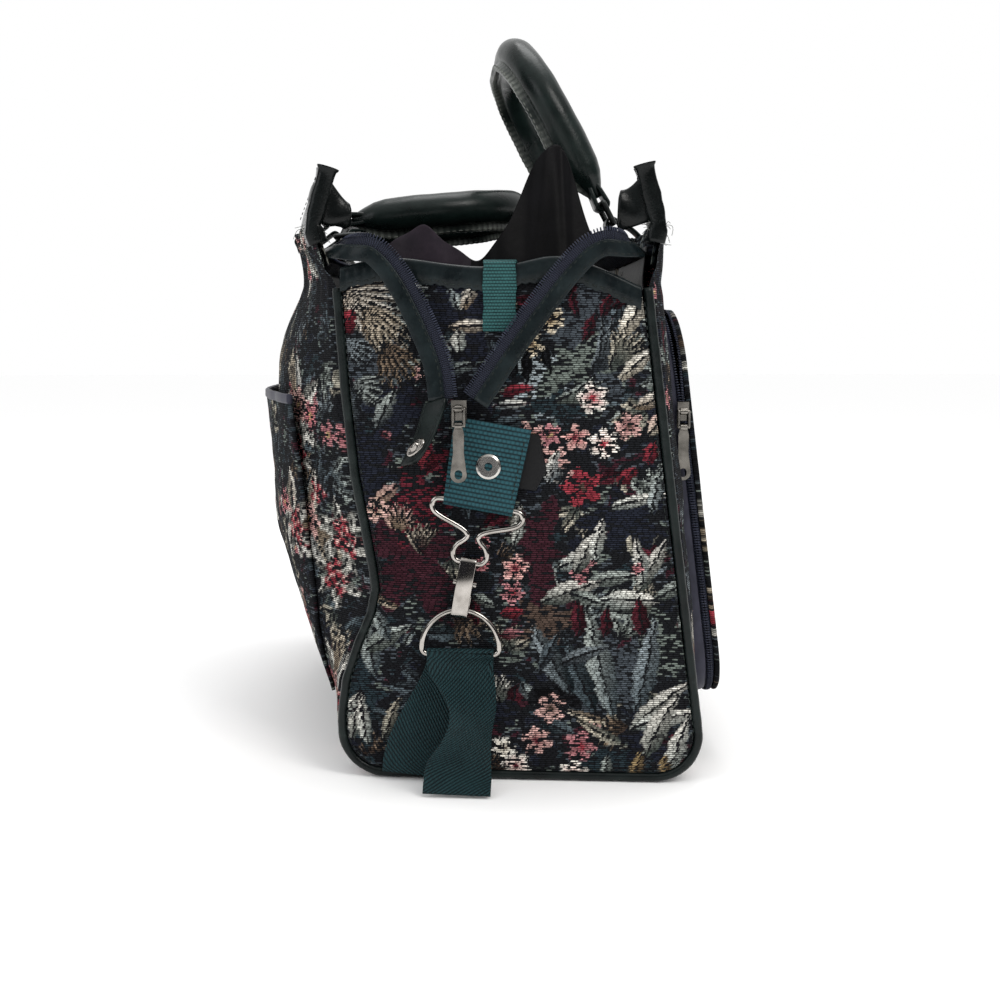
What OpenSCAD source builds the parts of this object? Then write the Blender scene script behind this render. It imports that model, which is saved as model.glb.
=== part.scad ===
// Soft travel bag of tapestry cloth, standing open, seen from its near end along +Y.
// Millimetres. X to the front side (pocket), Y to the far end, Z up, origin at the middle of the base.

/* [Body] */
// Length of the bag between its two end panels
bag_length = 430; // [380:5:480]
// Width of the end panels at the base
base_width = 228; // [210:2:250]
// Width of the end panels at their top edge
mouth_width = 194; // [184:2:206]
// Height of the end panels at their corners
end_height = 308; // [298:1:316]
// How far the top edge of an end panel rises in its middle
end_crown = 10; // [4:1:14]
// Height of the side panels
side_height = 342; // [338:1:352]
// Radius of the lower corners of the end panels
corner_radius = 30; // [24:1:36]
// How far the back side swells at half length
back_swell = 50; // [35:1:60]
// How far the front side swells at half length
front_swell = 16; // [10:1:18]
// Share of the swell that is left at the rim of a side
rim_share = 0.45; // [0.3:0.05:0.5]
// How far the end panels swell
end_swell = 5; // [2:0.5:6]
// How far the mouth leans towards the back side
mouth_lean = 20; // [12:1:24]
// How far the sides spread above the end panels
rim_flare = 10; // [6:1:12]
// Angle at which the soft bag stands askew
rack = 7; // [3:0.5:9]
// Thickness of the tapestry with its backing
cloth = 3; // [2.4:0.2:3.4]
// Thickness of the lining
lining_cloth = 1.5; // [1:0.1:2]
// Thickness of the stiff board in the base
board = 3; // [2:0.5:4]

/* [Trim] */
// Diameter of the piping along the end seams
piping_diameter = 6; // [5:0.5:7]
// Height of the leather binding on the top edge of an end
binding_height = 12; // [10:1:14]
// Thickness of the leather of the bindings and facings
leather = 1.5; // [1.2:0.1:1.8]
// Width of the narrow webbing over the top edge of an end
loop_width = 20; // [16:1:26]
// Height of a corner ear above the side panel
ear_height = 42; // [34:1:46]
// Length of a corner ear along the side panel
ear_length = 24; // [18:1:28]
// Inward tilt of the ears on the back side
ear_tilt_back = 32; // [20:1:36]
// Inward tilt of the ears on the front side
ear_tilt_front = 10; // [4:1:16]

/* [Main zip] */
// Place of the foot of the open zip across the end, from its middle
zip_foot_across = -35; // [-40:1:-30]
// Height of the foot of the open zip
zip_foot_height = 238; // [234:1:246]
// How far the foot of the open zip hangs in front of the end panel
zip_foot_out = 8; // [7:0.5:12]
// Width of the leather facing along the zip tape
facing_width = 10; // [8:0.5:11]
// Width of the bare zip tape beside the facing
tape_width = 5.5; // [4.5:0.5:6.5]

/* [Handles] */
// Distance between the two ends of a handle
handle_span = 150; // [140:5:170]
// Rise of a handle above its rings, at its middle line
handle_rise = 130; // [124:2:140]
// Diameter of the rolled grip
handle_diameter = 27; // [23:1:28]
// Lean of the raised front handle, from upright
front_lean = -28; // [-34:1:-20]
// Lean of the lowered back handle, from upright
back_lean = 84; // [80:1:85]

/* [Pockets] */
// Length of the front pocket
pocket_length = 318; // [290:2:330]
// Height of the lower edge of the front pocket
pocket_bottom = 38; // [36:1:46]
// Height of the upper edge of the front pocket
pocket_top = 292; // [280:1:296]
// Stand-off of the zip edge of the front pocket from the end seam plane
pocket_depth = 16; // [14:0.5:20]
// Height of the upper edge of the back slip pocket
slip_top = 234; // [210:2:250]

/* [Strap clip] */
// Width of the webbing tab
tab_width = 49; // [44:1:52]
// Height of the webbing tab
tab_height = 50; // [44:1:54]
// Height of the wire bar in the foot of the webbing tab
tab_foot = 174; // [170:1:178]
// Place of the webbing tab across the end, from its middle
tab_across = -24; // [-28:1:-20]
// Tilt of the hanging clip in the plane of the end
clip_tilt = 10; // [6:1:12]
// Diameter of the wire of the clip and of the D-ring
wire = 3.5; // [3:0.1:3.8]
// Distance from the tab bar to the eye of the hook
wire_drop = 36; // [34:1:40]
// Width of the hook
hook_width = 10; // [9:0.5:12]
// Width inside the D-ring
ring_width = 44; // [42:1:46]
// Width of the strap webbing
strap_width = 38; // [34:1:38]

/* [Hidden] */
$fn = 48;
seam = 0.3;
piping_radius = piping_diameter / 2;
piping_inset = piping_radius;
panel_inset = piping_inset + piping_radius + seam;
lining_slack = 0.5;
lining_depth = cloth + 0.4 + lining_slack;
lining_chamfer = piping_diameter - 1;
lining_floor = cloth + 2 * seam + board;
lining_top = end_height - binding_height - 1.95;
web = 1.6;
coil_radius = 1.3;
ear_layer = 2.4;
ear_tail = 30;
rim_slot = cloth / 2 + 0.3;
chape_up = 20;
chape_bend = 70;
chape_length = 20;
ring_wire = 2;
ring_rise = 15;
strap_leather = 3;
grip_start = 60;
zip_thick = 5;
front_panel_thick = 4;
layer_gap = 0.7;
pocket_corner = 36;
pocket_dome = 12;
wire_radius = wire / 2;
tab_bore = wire_radius + 0.15;
tab_plane = -end_swell;
tab_patch_thick = 2.2;
hook_plate = 1.6;
eye_bore = wire_radius + 0.15;
hook_bend = 3.6;
hook_reach = 28;
gate_pivot = -13;
hook_back = 2 * hook_bend + hook_plate - eye_bore;
hook_up = tab_foot - (wire_drop + hook_reach - 6) * cos(clip_tilt);
hook_over = (tab_across - (wire_drop + hook_reach) * sin(clip_tilt) - shift(hook_up)) / edge(hook_up, panel_inset);
bar_out = -max(tab_patch_thick + 0.2 + web + tab_bore - tab_plane, end_out(hook_over, hook_up) + hook_back + 0.02);
ring_radius = ring_width / 2 + wire_radius;
ring_corner = 3.6;
link_drop = 10;
pull_length = 34;
clip_down = [-sin(clip_tilt), 0, -cos(clip_tilt)];
ring_hang = [tab_across, bar_out, tab_foot] + clip_down * (wire_drop + hook_reach + 2.1)
  + [0, hook_bend - eye_bore, 0];
slider_out = -(end_swell + zip_foot_out + 9);

// Shape of the body: half width, sideways shift and swell at a height
function half_width(z) = base_width / 2
  + (mouth_width - base_width) / 2 * max(0, z - corner_radius) / (end_height - corner_radius)
  + rim_flare * max(0, z - end_height) / (side_height - end_height);
function shift(z) = -mouth_lean * max(0, z - corner_radius) / (side_height - corner_radius);
function corner_cut(c, d) = d > 0 ? c - sqrt(max(0, c * c - d * d)) : 0;
function edge(z, inset) = half_width(z) - inset - corner_cut(corner_radius - inset, corner_radius - z);
function swell_along(u) = 1 - pow(min(1, abs(u)), 2.2);
function rise_of(z) = min(1, max(0, (z - corner_radius) / (side_height - corner_radius)));
function swell_up(z) = sin(90 * min(1, rise_of(z) / 0.42))
  - (1 - rim_share) * (1 - cos(180 * max(0, rise_of(z) - 0.7) / 0.3)) / 2;
function end_out(s, z) = end_swell * (1 - s * s) * pow(sin(180 * min(1, z / end_height)), 2);

// A point of an end, given across, depth into the bag and height; end is -1 near, 1 far
function end_point(end, a, b, z) =
  [a * cos(rack) - end * b * sin(rack), end * bag_length / 2 - a * sin(rack) - end * b * cos(rack), z];
// A point of a side, u from -1 near to 1 far; side is -1 back, 1 front
function side_point(side, u, z, inset) = let (a = shift(z) + side * edge(z, min(inset, corner_radius)))
  [a * cos(rack) + side * swell_of(side) * swell_along(u) * swell_up(z),
   u * bag_length / 2 - a * sin(rack), z];
function swell_of(side) = side < 0 ? back_swell : front_swell;
function rim_across(side) = shift(side_height) + side * (half_width(side_height) - cloth / 2);
function rim_bow(side, along) = side * swell_of(side) * rim_share * swell_along(along / (bag_length / 2));
function rim_x(side, along) = rim_across(side) * cos(rack) + rim_bow(side, along);
function rim_turn(side, along) = -atan((rim_bow(side, along + 1) - rim_bow(side, along - 1)) / 2);
function rim_y(side) = -rim_across(side) * sin(rack);
function rim_lean(side) = atan(rim_slope(side));
function rim_slope(side) = (rim_low(side, 0) - rim_low(side, 1)) * cos(rack);
function rim_low(side, d) = shift(side_height - d) + side * half_width(side_height - d);

// Solids from rings of points and from two sheets of points
function flat(rows) = [for (row = rows) each row];
function reversed(list) = [for (i = [len(list) - 1 : -1 : 0]) list[i]];
function unit(v) = v / norm(v);
function sheet_faces(rows, cols, base, flip) = [for (i = [0 : rows - 2], j = [0 : cols - 2])
  let (p = base + i * cols + j, q = p + cols)
  each flip ? [[p, p + 1, q + 1], [p, q + 1, q]] : [[p, q + 1, p + 1], [p, q, q + 1]]];
function sheet_border(rows, cols) = concat([for (j = [0 : cols - 2]) j],
  [for (i = [0 : rows - 2]) i * cols + cols - 1],
  [for (j = [cols - 1 : -1 : 1]) (rows - 1) * cols + j], [for (i = [rows - 1 : -1 : 1]) i * cols]);
function wall_faces(border, n) = [for (i = [0 : len(border) - 1])
  let (p = border[i], q = border[(i + 1) % len(border)]) each [[p, q, q + n], [p, q + n, p + n]]];
function tangent(path, i, closed) = let (n = len(path))
  unit(path[closed ? (i + 1) % n : min(n - 1, i + 1)] - path[closed ? (i + n - 1) % n : max(0, i - 1)]);
function tube_rings(path, r, up, sides, closed) = [for (i = [0 : len(path) - 1])
  let (t = tangent(path, i, closed))
  [for (k = [0 : sides - 1]) path[i] + r * (cos(k * 360 / sides) * up + sin(k * 360 / sides) * cross(t, up))]];

// Seen from outside, the rows of the outer sheet go up and its columns go to the right
module sheet_solid(outer, inner) {
  rows = len(outer);
  cols = len(outer[0]);
  n = rows * cols;
  faces = concat(sheet_faces(rows, cols, 0, false), sheet_faces(rows, cols, n, true));
  polyhedron(concat(flat(outer), flat(inner)), concat(faces, wall_faces(sheet_border(rows, cols), n)));
}

// Each ring runs anticlockwise about the way the sweep goes; end_cells split the end faces of a hollow profile
module sweep(rings, closed = false, end_cells = []) {
  n = len(rings[0]);
  m = len(rings);
  sides = [for (i = [0 : closed ? m - 1 : m - 2], k = [0 : n - 1])
    let (p = i * n + k, p2 = i * n + (k + 1) % n, q = (i + 1) % m * n + k,
      q2 = (i + 1) % m * n + (k + 1) % n)
    each [[p, q, q2], [p, q2, p2]]];
  cells = len(end_cells) > 0 ? end_cells : [[for (k = [0 : n - 1]) k]];
  last = (m - 1) * n;
  caps = closed ? [] : concat(cells, [for (cell = cells) [for (k = reversed(cell)) last + k]]);
  polyhedron(flat(rings), concat(sides, caps));
}

// Puts what is drawn across, into the bag and up onto an end of the bag
module at_end(end) {
  translate([0, end * bag_length / 2, 0]) rotate([0, 0, -rack]) mirror([0, end > 0 ? 1 : 0, 0]) children();
}

// Puts what is drawn outwards, along and up from a side panel's rim onto that rim
module at_rim(side, along) {
  translate([rim_x(side, along), rim_y(side) + along, side_height]) rotate([0, 0, rim_turn(side, along)])
    rotate([0, rim_lean(side), 0]) mirror([side < 0 ? 1 : 0, 0, 0]) children();
}

module round_bar(length, radius) {
  rotate([0, 90, 0]) cylinder(h = length, r = radius, center = true);
}

// Body of the bag
corner_rows = [for (k = [0 : 4]) corner_radius - (corner_radius - panel_inset) * cos(k * 22.5)];
end_rows = concat(corner_rows, [for (k = [1 : 9]) corner_radius + (end_height - corner_radius) * k / 9]);
function end_sheet(depth) = [for (z = end_rows) [for (j = [-6 : 6]) let (s = j / 6)
  [shift(z) + s * edge(z, panel_inset), depth - end_out(s, z),
   z + end_crown * (1 - s * s) * pow(z / end_height, 2)]]];

module end_panel(end) {
  color([0.17, 0.17, 0.17]) at_end(end) sheet_solid(end_sheet(0), end_sheet(cloth));
}

side_rows = [for (k = [0 : 13]) corner_radius + seam + (side_height - corner_radius - seam) * k / 13];
side_columns = [for (j = [-8 : 8]) (1 - panel_inset / (bag_length / 2)) * j / 8];
function side_sheet(side, inset) = [for (z = side_rows)
  [for (u = side < 0 ? reversed(side_columns) : side_columns) side_point(side, u, z, inset)]];

module side_panel(side) {
  color([0.19, 0.18, 0.17]) sheet_solid(side_sheet(side, 0), side_sheet(side, cloth));
}

module base_profile(inset) {
  r = corner_radius - inset;
  flat_half = base_width / 2 * cos(rack) - corner_radius;
  for (side = [-1, 1]) translate([side * flat_half, corner_radius]) circle(r);
  translate([-flat_half, inset]) square([2 * flat_half, r]);
}

module base_outline(inset) {
  half = base_width;
  y = bag_length / 2 - inset / cos(rack);
  skew = half * tan(rack);
  polygon([[-half, -y + skew], [half, -y - skew], [half, y - skew], [-half, y + skew]]);
}

module base_panel() {
  color([0.15, 0.15, 0.15]) intersection() {
    rotate([90, 0, 0]) linear_extrude(height = 2 * bag_length, center = true) difference() {
      intersection() {
        base_profile(0);
        translate([-base_width, 0]) square([2 * base_width, corner_radius]);
      }
      base_profile(cloth);
      translate([-base_width / 2 * cos(rack) + cloth, corner_radius])
        square([base_width * cos(rack) - 2 * cloth, 1]);
    }
    linear_extrude(height = 2 * corner_radius) base_outline(panel_inset);
  }
}

module base_board() {
  half = base_width / 2 * cos(rack) - corner_radius;
  color([0.3, 0.24, 0.18]) translate([0, 0, cloth + seam]) linear_extrude(height = board) intersection() {
    base_outline(panel_inset + cloth);
    translate([-half, -bag_length]) square([2 * half, 2 * bag_length]);
  }
}

lining_rows = concat([for (k = [0 : 3]) lining_floor + (corner_radius - lining_floor) * k / 3],
  [for (z = side_rows) if (z > corner_radius + 4 && z < lining_top - 4) z], [lining_top]);
function lining_ring(z, t) = let (reach = 1 - t / (bag_length / 2)) concat(
  [for (j = [-3 : 3]) let (s = j / 3)
    end_point(-1, shift(z) + s * (edge(z, t) - lining_chamfer), t - lining_slack - end_out(s, z), z)],
  [for (j = [-3 : 3]) side_point(1, reach * j / 4, z, t)],
  [for (j = [-3 : 3]) let (s = -j / 3)
    end_point(1, shift(z) + s * (edge(z, t) - lining_chamfer), t - lining_slack - end_out(s, z), z)],
  [for (j = [-3 : 3]) side_point(-1, -reach * j / 4, z, t)]);

module lining() {
  inner_depth = lining_depth + lining_cloth;
  inner = [for (z = lining_rows) lining_ring(max(z, lining_floor + lining_cloth), inner_depth)];
  floor_cells = [for (k = [0 : 12]) [26 - k, 27 - k, k, k + 1]];
  color([0.05, 0.04, 0.05]) sweep(concat([for (z = lining_rows) lining_ring(z, lining_depth)], reversed(inner)),
    false, floor_cells);
}

function piping_path() = let (
  side_z = [for (k = [0 : 12]) end_height - 6 - (end_height - 6 - corner_radius) * k / 12],
  turn_z = [for (k = [1 : 5]) corner_radius - (corner_radius - piping_inset) * sin(k * 18)],
  down = concat(side_z, turn_z)) concat(
  [for (z = down) [shift(z) - edge(z, piping_inset), piping_inset, z]],
  [for (j = [-2 : 2]) [j / 3 * edge(piping_inset, piping_inset), piping_inset, piping_inset]],
  [for (z = reversed(down)) [shift(z) + edge(z, piping_inset), piping_inset, z]]);

module piping(end) {
  color([0.1, 0.13, 0.12]) at_end(end)
    sweep(tube_rings(piping_path(), piping_radius, [0, 1, 0], 8, false));
}

function binding_ring(s) = let (low = end_height - binding_height,
  a0 = shift(end_height) + s * (edge(end_height, panel_inset)),
  top = end_height + end_crown * (1 - s * s), out = end_out(s, low), front = -out - seam, back = cloth + seam,
  profile = [[front - leather, low], [front, low], [front, top + seam], [back, top + seam], [back, low],
    [back + leather, low], [back + leather, top + seam + leather], [front - leather, top + seam + leather]])
  [for (p = profile) [a0, p[0], p[1] > end_height - 1 ? p[1] : p[1] + end_crown * (1 - s * s)]];

module binding(end) {
  color([0.13, 0.16, 0.14]) at_end(end) sweep([for (j = [-7 : 7]) reversed(binding_ring(j / 7))], false,
    [[0, 5, 6, 7], [0, 1, 4, 5], [1, 2, 3, 4]]);
}

module grab_loop(end) {
  out = -(end_out(0, end_height - binding_height) + 2 * seam + leather);
  inside = cloth + 2 * seam + leather;
  top = end_height + end_crown + 2 * seam + leather;
  low = end_height - 26;
  color([0.16, 0.25, 0.22]) at_end(end) translate([shift(end_height) + 6 - loop_width / 2, 0, 0])
    rotate([90, 0, 90]) linear_extrude(height = loop_width) {
      translate([out - web, low]) square([web, top - low]);
      translate([inside, low]) square([web, top - low]);
      translate([out - web, top]) square([inside - out + 2 * web, web]);
    }
}

// Corner ears and their snaps
function ear_along(end) = end * (bag_length / 2 - 9 - ear_length / 2);

function ear_tilt(side) = side < 0 ? ear_tilt_back : ear_tilt_front;

module ear(side, end) {
  thick = rim_slot + ear_layer;
  half = ear_length / 2;
  color([0.14, 0.17, 0.15]) at_rim(side, ear_along(end)) mirror([0, end > 0 ? 1 : 0, 0]) intersection() {
    difference() {
      translate([0, ear_tail / 2, 0]) rotate([90, 0, 0]) linear_extrude(height = ear_length + ear_tail, center = true)
        difference() {
          union() {
            translate([-thick, -11]) square([2 * thick, 11]);
            rotate(ear_tilt(side)) translate([-thick, 0]) square([2 * thick, ear_height - thick]);
            rotate(ear_tilt(side)) translate([0, ear_height - thick]) circle(thick);
            circle(thick - 0.15);
          }
          translate([-rim_slot - 0.3, -12]) square([2 * rim_slot + 0.6, 12.4]);
        }
      rotate([0, -ear_tilt(side), 0]) translate([0, 0, ear_height / 2]) round_bar(3 * thick, 2.1);
    }
    rotate([90, 0, 90]) linear_extrude(height = 2 * ear_height, center = true)
      polygon([[-half, -11], [half, -11], [half, 0.8], [half + ear_tail, 0.8], [half + ear_tail, 5],
        [half, ear_height + 1], [-half, ear_height + 1]]);
  }
}

module corner_snap(thick) {
  round_bar(2 * thick + 2, 2);
  translate([thick + 0.05, 0, 0]) rotate([0, 90, 0]) rotate_extrude()
    polygon([[0, 0], [7, 0], [7, 0.9], [4.6, 2.2], [0, 2.6]]);
  translate([-thick - 0.05, 0, 0]) rotate([0, -90, 0]) rotate_extrude() difference() {
    square([6.4, 2.6]);
    translate([2.6, 1]) square([2.2, 2]);
  }
}

module corner_snaps() {
  color([0.62, 0.62, 0.6]) for (side = [-1, 1], end = [-1, 1]) at_rim(side, ear_along(end))
    rotate([0, -ear_tilt(side), 0]) translate([0, 0, ear_height / 2]) corner_snap(rim_slot + ear_layer);
}

// Main zip: each side goes from its foot at the near end up to the rim, along it, and down at the far end
zip_rim = side_height - 12;
zip_in = cloth + 0.8 * facing_width + 1.6;
function zip_corner(side) = shift(zip_rim) + side * (half_width(zip_rim) - zip_in);
function zip_bow(side, t) = let (
  foot = [zip_foot_across + side * (tape_width + 2 * coil_radius + 0.4), zip_foot_height],
  top = [zip_corner(side), zip_rim],
  bend = side < 0 ? [foot[0] - 2.5, foot[1] + 72] : [foot[0] + 24.5, foot[1] + 74])
  foot * (1 - t) * (1 - t) + bend * 2 * t * (1 - t) + top * t * t;
function zip_depth(t) = -(end_swell + 3.5 + zip_foot_out * (1 - t) * (1 - t));
zip_rest = [-0.8, 0, 0.6];
function zip_arm(side, end, t) = let (p = zip_bow(side, t), q = zip_bow(side, t + 0.01) - zip_bow(side, t - 0.01),
  across = unit([q[1], -q[0]]) * -side)
  [end_point(end, p[0], zip_depth(t), p[1]), [across[0] * cos(rack), -across[0] * sin(rack), across[1]]];
function zip_run(side, u) = let (a = zip_corner(side))
  [[a * cos(rack) + side * swell_of(side) * swell_up(zip_rim) * swell_along(u),
    u * (bag_length / 2 - 6) - a * sin(rack), zip_rim], [side * zip_rest[0], 0, zip_rest[2]]];
function zip_turn(side, end) = let (first = zip_arm(side, end, 0.9), last = zip_run(side, end * 0.9),
  corner = zip_arm(side, end, 1)[0])
  [for (k = [1 : 5]) let (f = k / 6) [first[0] * (1 - f) * (1 - f) + corner * 2 * f * (1 - f) + last[0] * f * f,
    unit(first[1] * (1 - f) + last[1] * f)]];
function zip_end_line(side, end) = concat([for (i = [0 : 7]) zip_arm(side, end, 0.9 * i / 7)], zip_turn(side, end));
function zip_line(side) = concat(zip_end_line(side, -1), [for (j = [-4.5 : 4.5]) zip_run(side, j / 5)],
  reversed(zip_end_line(side, 1)));
function strip_ring(line, i, side, profile) = let (t = tangent([for (p = line) p[0]], i, false), w = line[i][1],
  o = unit(side * cross(t, w)), ring = [for (p = profile) line[i][0] + w * p[0] + o * p[1]])
  side < 0 ? reversed(ring) : ring;
function strip_rings(side, profile) = let (line = zip_line(side))
  [for (i = [0 : len(line) - 1]) strip_ring(line, i, side, profile)];

module zip_tape(side) {
  color([0.08, 0.1, 0.14]) sweep(strip_rings(side,
    [[2 - facing_width, -1], [tape_width, -1], [tape_width, 0], [2 - facing_width, 0]]));
}

module zip_facing(side) {
  color([0.24, 0.27, 0.23]) sweep(strip_rings(side,
    [[-facing_width, 0.35], [0, 0.35], [0, leather + 0.3], [-facing_width, leather + 0.3]]));
}

module zip_coil(side) {
  profile = [for (k = [0 : 5]) [tape_width + 0.05 + coil_radius * 0.866, -0.5]
    + coil_radius * [cos(k * 60 + 30), sin(k * 60 + 30)]];
  color([0.06, 0.08, 0.12]) sweep(strip_rings(side, profile));
}

// Slider, link and pull, drawn round the bore of the bridge: across, inwards, up
module slider_body() {
  translate([-4.6, 2.4, -7]) cube([9.2, 4.4, 12]);
  difference() {
    union() {
      translate([-2.1, 0, -2.2]) cube([4.2, 2.6, 4.4]);
      round_bar(4.2, 2.2);
    }
    round_bar(6, 1.1);
  }
}

module link_loop() {
  for (z = [0, -link_drop]) translate([0, 0, z]) round_bar(6.6, 1);
  for (x = [-3.3, 3.3]) {
    translate([x, 0, -link_drop]) cylinder(h = link_drop, r = 1);
    for (z = [0, -link_drop]) translate([x, 0, z]) sphere(1);
  }
}

module pull_tab() {
  difference() {
    union() {
      round_bar(4.2, 2.2);
      rotate([90, 0, 0]) linear_extrude(height = 1.6, center = true) difference() {
        union() {
          polygon([[-2.1, 0], [-3.4, -5], [-3.2, -16], [-4.9, 4.9 - pull_length],
            [4.9, 4.9 - pull_length], [3.2, -16], [3.4, -5], [2.1, 0]]);
          translate([0, 4.9 - pull_length]) circle(4.9);
        }
        for (z = [4.4, 5.4]) translate([0, z - pull_length]) circle(2.3);
      }
    }
    round_bar(6, 1.1);
  }
}

module at_zip_foot(drop) {
  at_end(-1) translate([zip_foot_across, slider_out, zip_foot_height - 5.6 - drop]) children();
}

module zip_slider() {
  color([0.55, 0.55, 0.53]) at_zip_foot(0) {
    slider_body();
    translate([-4.6, 6.8, -7]) cube([9.2, 1.4, 12]);
  }
}

module zip_link() {
  color([0.7, 0.7, 0.68]) at_zip_foot(0) link_loop();
}

module zip_pull() {
  color([0.7, 0.7, 0.68]) at_zip_foot(link_drop) pull_tab();
}

// Leather tab that ends the zip: it hangs to the back, turned so that its snap faces the front
tab_lay = [for (i = [0 : 6]) let (t = i / 6, turn = 20 + 50 * t)
  [[zip_foot_across - 14 - 16 * t + 2 * sin(180 * t), zip_depth(0) - 0.6 - 5 * t, 
    zip_foot_height - 1.3 - 38 * t],
   [cos(turn), -sin(turn), 0.25]]];

module zip_end_tab() {
  rings = [for (i = [0 : 6])
    let (t = tangent([for (p = tab_lay) p[0]], i, false), w = unit(tab_lay[i][1]), o = unit(cross(t, w)))
    [for (p = [[-7.5, -1.2], [7.5, -1.2], [7.5, 1.2], [-7.5, 1.2]]) tab_lay[i][0] + w * p[0] + o * p[1]]];
  color([0.16, 0.19, 0.17]) at_end(-1) sweep(rings);
}

module zip_end_snap() {
  place = tab_lay[4];
  w = unit(place[1]);
  o = unit(cross(tab_lay[5][0] - tab_lay[3][0], w));
  turn = atan2(-o[1], -o[0]);
  tip = acos(-o[2]);
  color([0.66, 0.66, 0.64]) at_end(-1) translate(place[0] - o * 1.5) rotate([0, tip, turn]) rotate_extrude()
    polygon([[0, 0], [6, 0], [6, 0.8], [2.6, 1.2], [2.6, 2.6], [1.8, 3.2], [0, 3.2]]);
}

module zip_far_stop() {
  color([0.16, 0.19, 0.17]) at_end(1)
    translate([zip_foot_across - 9, slider_out + 4, zip_foot_height - 34.4]) cube([18, 3, 34]);
}

// Flap of lining cloth that stands up behind the near end: a low lobe and a high peak
flap_low = end_height - 22;
function flap_height(a) = 22 + 34 * exp(-pow((a + 62) / 28, 2))
  + 84 * exp(-pow((a - 20) / (a < 20 ? 30 : 22), 2));
function flap_point(a, t, depth) =
  [a, 7 + depth + 8 * t + 12 * t * exp(-pow((a - 24) / 24, 2)) + 3 * t * sin(a * 9),
   flap_low + t * flap_height(a)];
function flap_sheet(depth) = [for (i = [0 : 5])
  [for (j = [0 : 16]) flap_point(shift(end_height) - 74 + 8.6 * j, i / 5, depth)]];

module end_flap() {
  color([0.04, 0.035, 0.04]) at_end(-1) sheet_solid(flap_sheet(0), flap_sheet(1.4));
}

// Handles: a chape on the rim holds each ring, and the flat end of the handle goes round the ring
module chapes(side) {
  slot = rim_slot + 0.8;
  thick = slot + 1.8;
  pivot = handle_pivot(side);
  color([0.13, 0.16, 0.14]) difference() {
    for (end = [-1, 1]) at_rim(side, end * handle_span / 2) rotate([90, 0, 0])
      linear_extrude(height = chape_length, center = true) difference() {
        union() {
          translate([-thick, -8]) square([2 * thick, 8]);
          circle(thick - 0.15);
          rotate(chape_bend) translate([-thick, 0]) square([2 * thick, chape_up]);
          rotate(chape_bend) translate([0, chape_up]) circle(4.6);
        }
        translate([-slot, -9]) square([2 * slot, 9.4]);
      }
    translate(pivot) rotate([90, 0, 0]) cylinder(h = 2 * bag_length, r = ring_wire + 0.15, center = true);
  }
}

function chape_way(side) = rim_lean(side) - side * chape_bend;
function handle_pivot(side) = let (way = chape_way(side), out = rim_x(side, handle_span / 2))
  [out + chape_up * sin(way) * cos(rim_turn(side, handle_span / 2)), rim_y(side),
   side_height + chape_up * cos(way)];

module at_handle(side) {
  translate(handle_pivot(side)) rotate([0, side < 0 ? back_lean : front_lean, 0]) children();
}

module handle_rings(side) {
  half = chape_length / 2 + ring_wire + 1.5;
  color([0.72, 0.72, 0.7]) at_handle(side) for (end = [-1, 1]) translate([0, end * handle_span / 2, 0]) {
    for (z = [0, ring_rise]) translate([0, 0, z]) rotate([90, 0, 0])
      cylinder(h = 2 * half, r = ring_wire, center = true);
    for (y = [-half, half]) {
      translate([0, y, 0]) cylinder(h = ring_rise, r = ring_wire);
      for (z = [0, ring_rise]) translate([0, y, z]) sphere(ring_wire);
    }
  }
}

// Stations of one handle leg: place across the grip plane and up, then width, thickness and roundness
ring_way = ring_wire + 0.3 + strap_leather / 2;
turn_radius = min(60, handle_rise - grip_start - 14);
leg_start = [for (z = [ring_rise + 26, ring_rise + 12]) [[1.7, 0, z], chape_length, strap_leather, 0.4]];
leg_wrap = [for (k = [0 : 6])
  [[ring_way * cos(k * 30), 0, ring_rise - ring_way * sin(k * 30)], chape_length, strap_leather, 0.4]];
leg_rise = [[[-ring_way + 1.5, 0, ring_rise + 12], chape_length, strap_leather, 0.4],
  [[-1.7, 0, ring_rise + 27], chape_length, strap_leather, 0.45],
  [[-0.6, 0, grip_start - 11], chape_length + 1, strap_leather + 7, 0.7],
  [[0, 0, grip_start], handle_diameter - 1, handle_diameter - 4, 0.95],
  [[0, 0, grip_start + 12], handle_diameter, handle_diameter - 1, 1]];
leg = concat(leg_start, leg_wrap, leg_rise);
function leg_at(end) = [for (p = leg) [[p[0][0], end * handle_span / 2, p[0][2]], p[1], p[2], p[3]]];
function turn_at(end) = [for (k = [0 : 6]) [[0, end * (handle_span / 2 - turn_radius * (1 - cos(k * 15))),
  handle_rise - turn_radius + turn_radius * sin(k * 15)], handle_diameter, handle_diameter - 1, 1]];
handle_line = concat(leg_at(-1), turn_at(-1), reversed(turn_at(1)), reversed(leg_at(1)));
function power(v, e) = sign(v) * pow(abs(v), e);
function handle_ring(i) = let (t = tangent([for (p = handle_line) p[0]], i, false), p = handle_line[i],
  side_way = abs(t[1]) > 0.05 ? unit(cross([1, 0, 0], t)) : [0, 1, 0] * (i < len(handle_line) / 2 ? -1 : 1),
  thin = cross(t, side_way))
  [for (k = [0 : 11]) let (c = cos(k * 30 + 15), s = sin(k * 30 + 15))
    p[0] + side_way * p[1] / 2 * power(c, p[3]) + thin * p[2] / 2 * power(s, p[3])];

module handle(side) {
  color([0.13, 0.17, 0.15]) at_handle(side) sweep([for (i = [0 : len(handle_line) - 1]) handle_ring(i)]);
}

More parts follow.
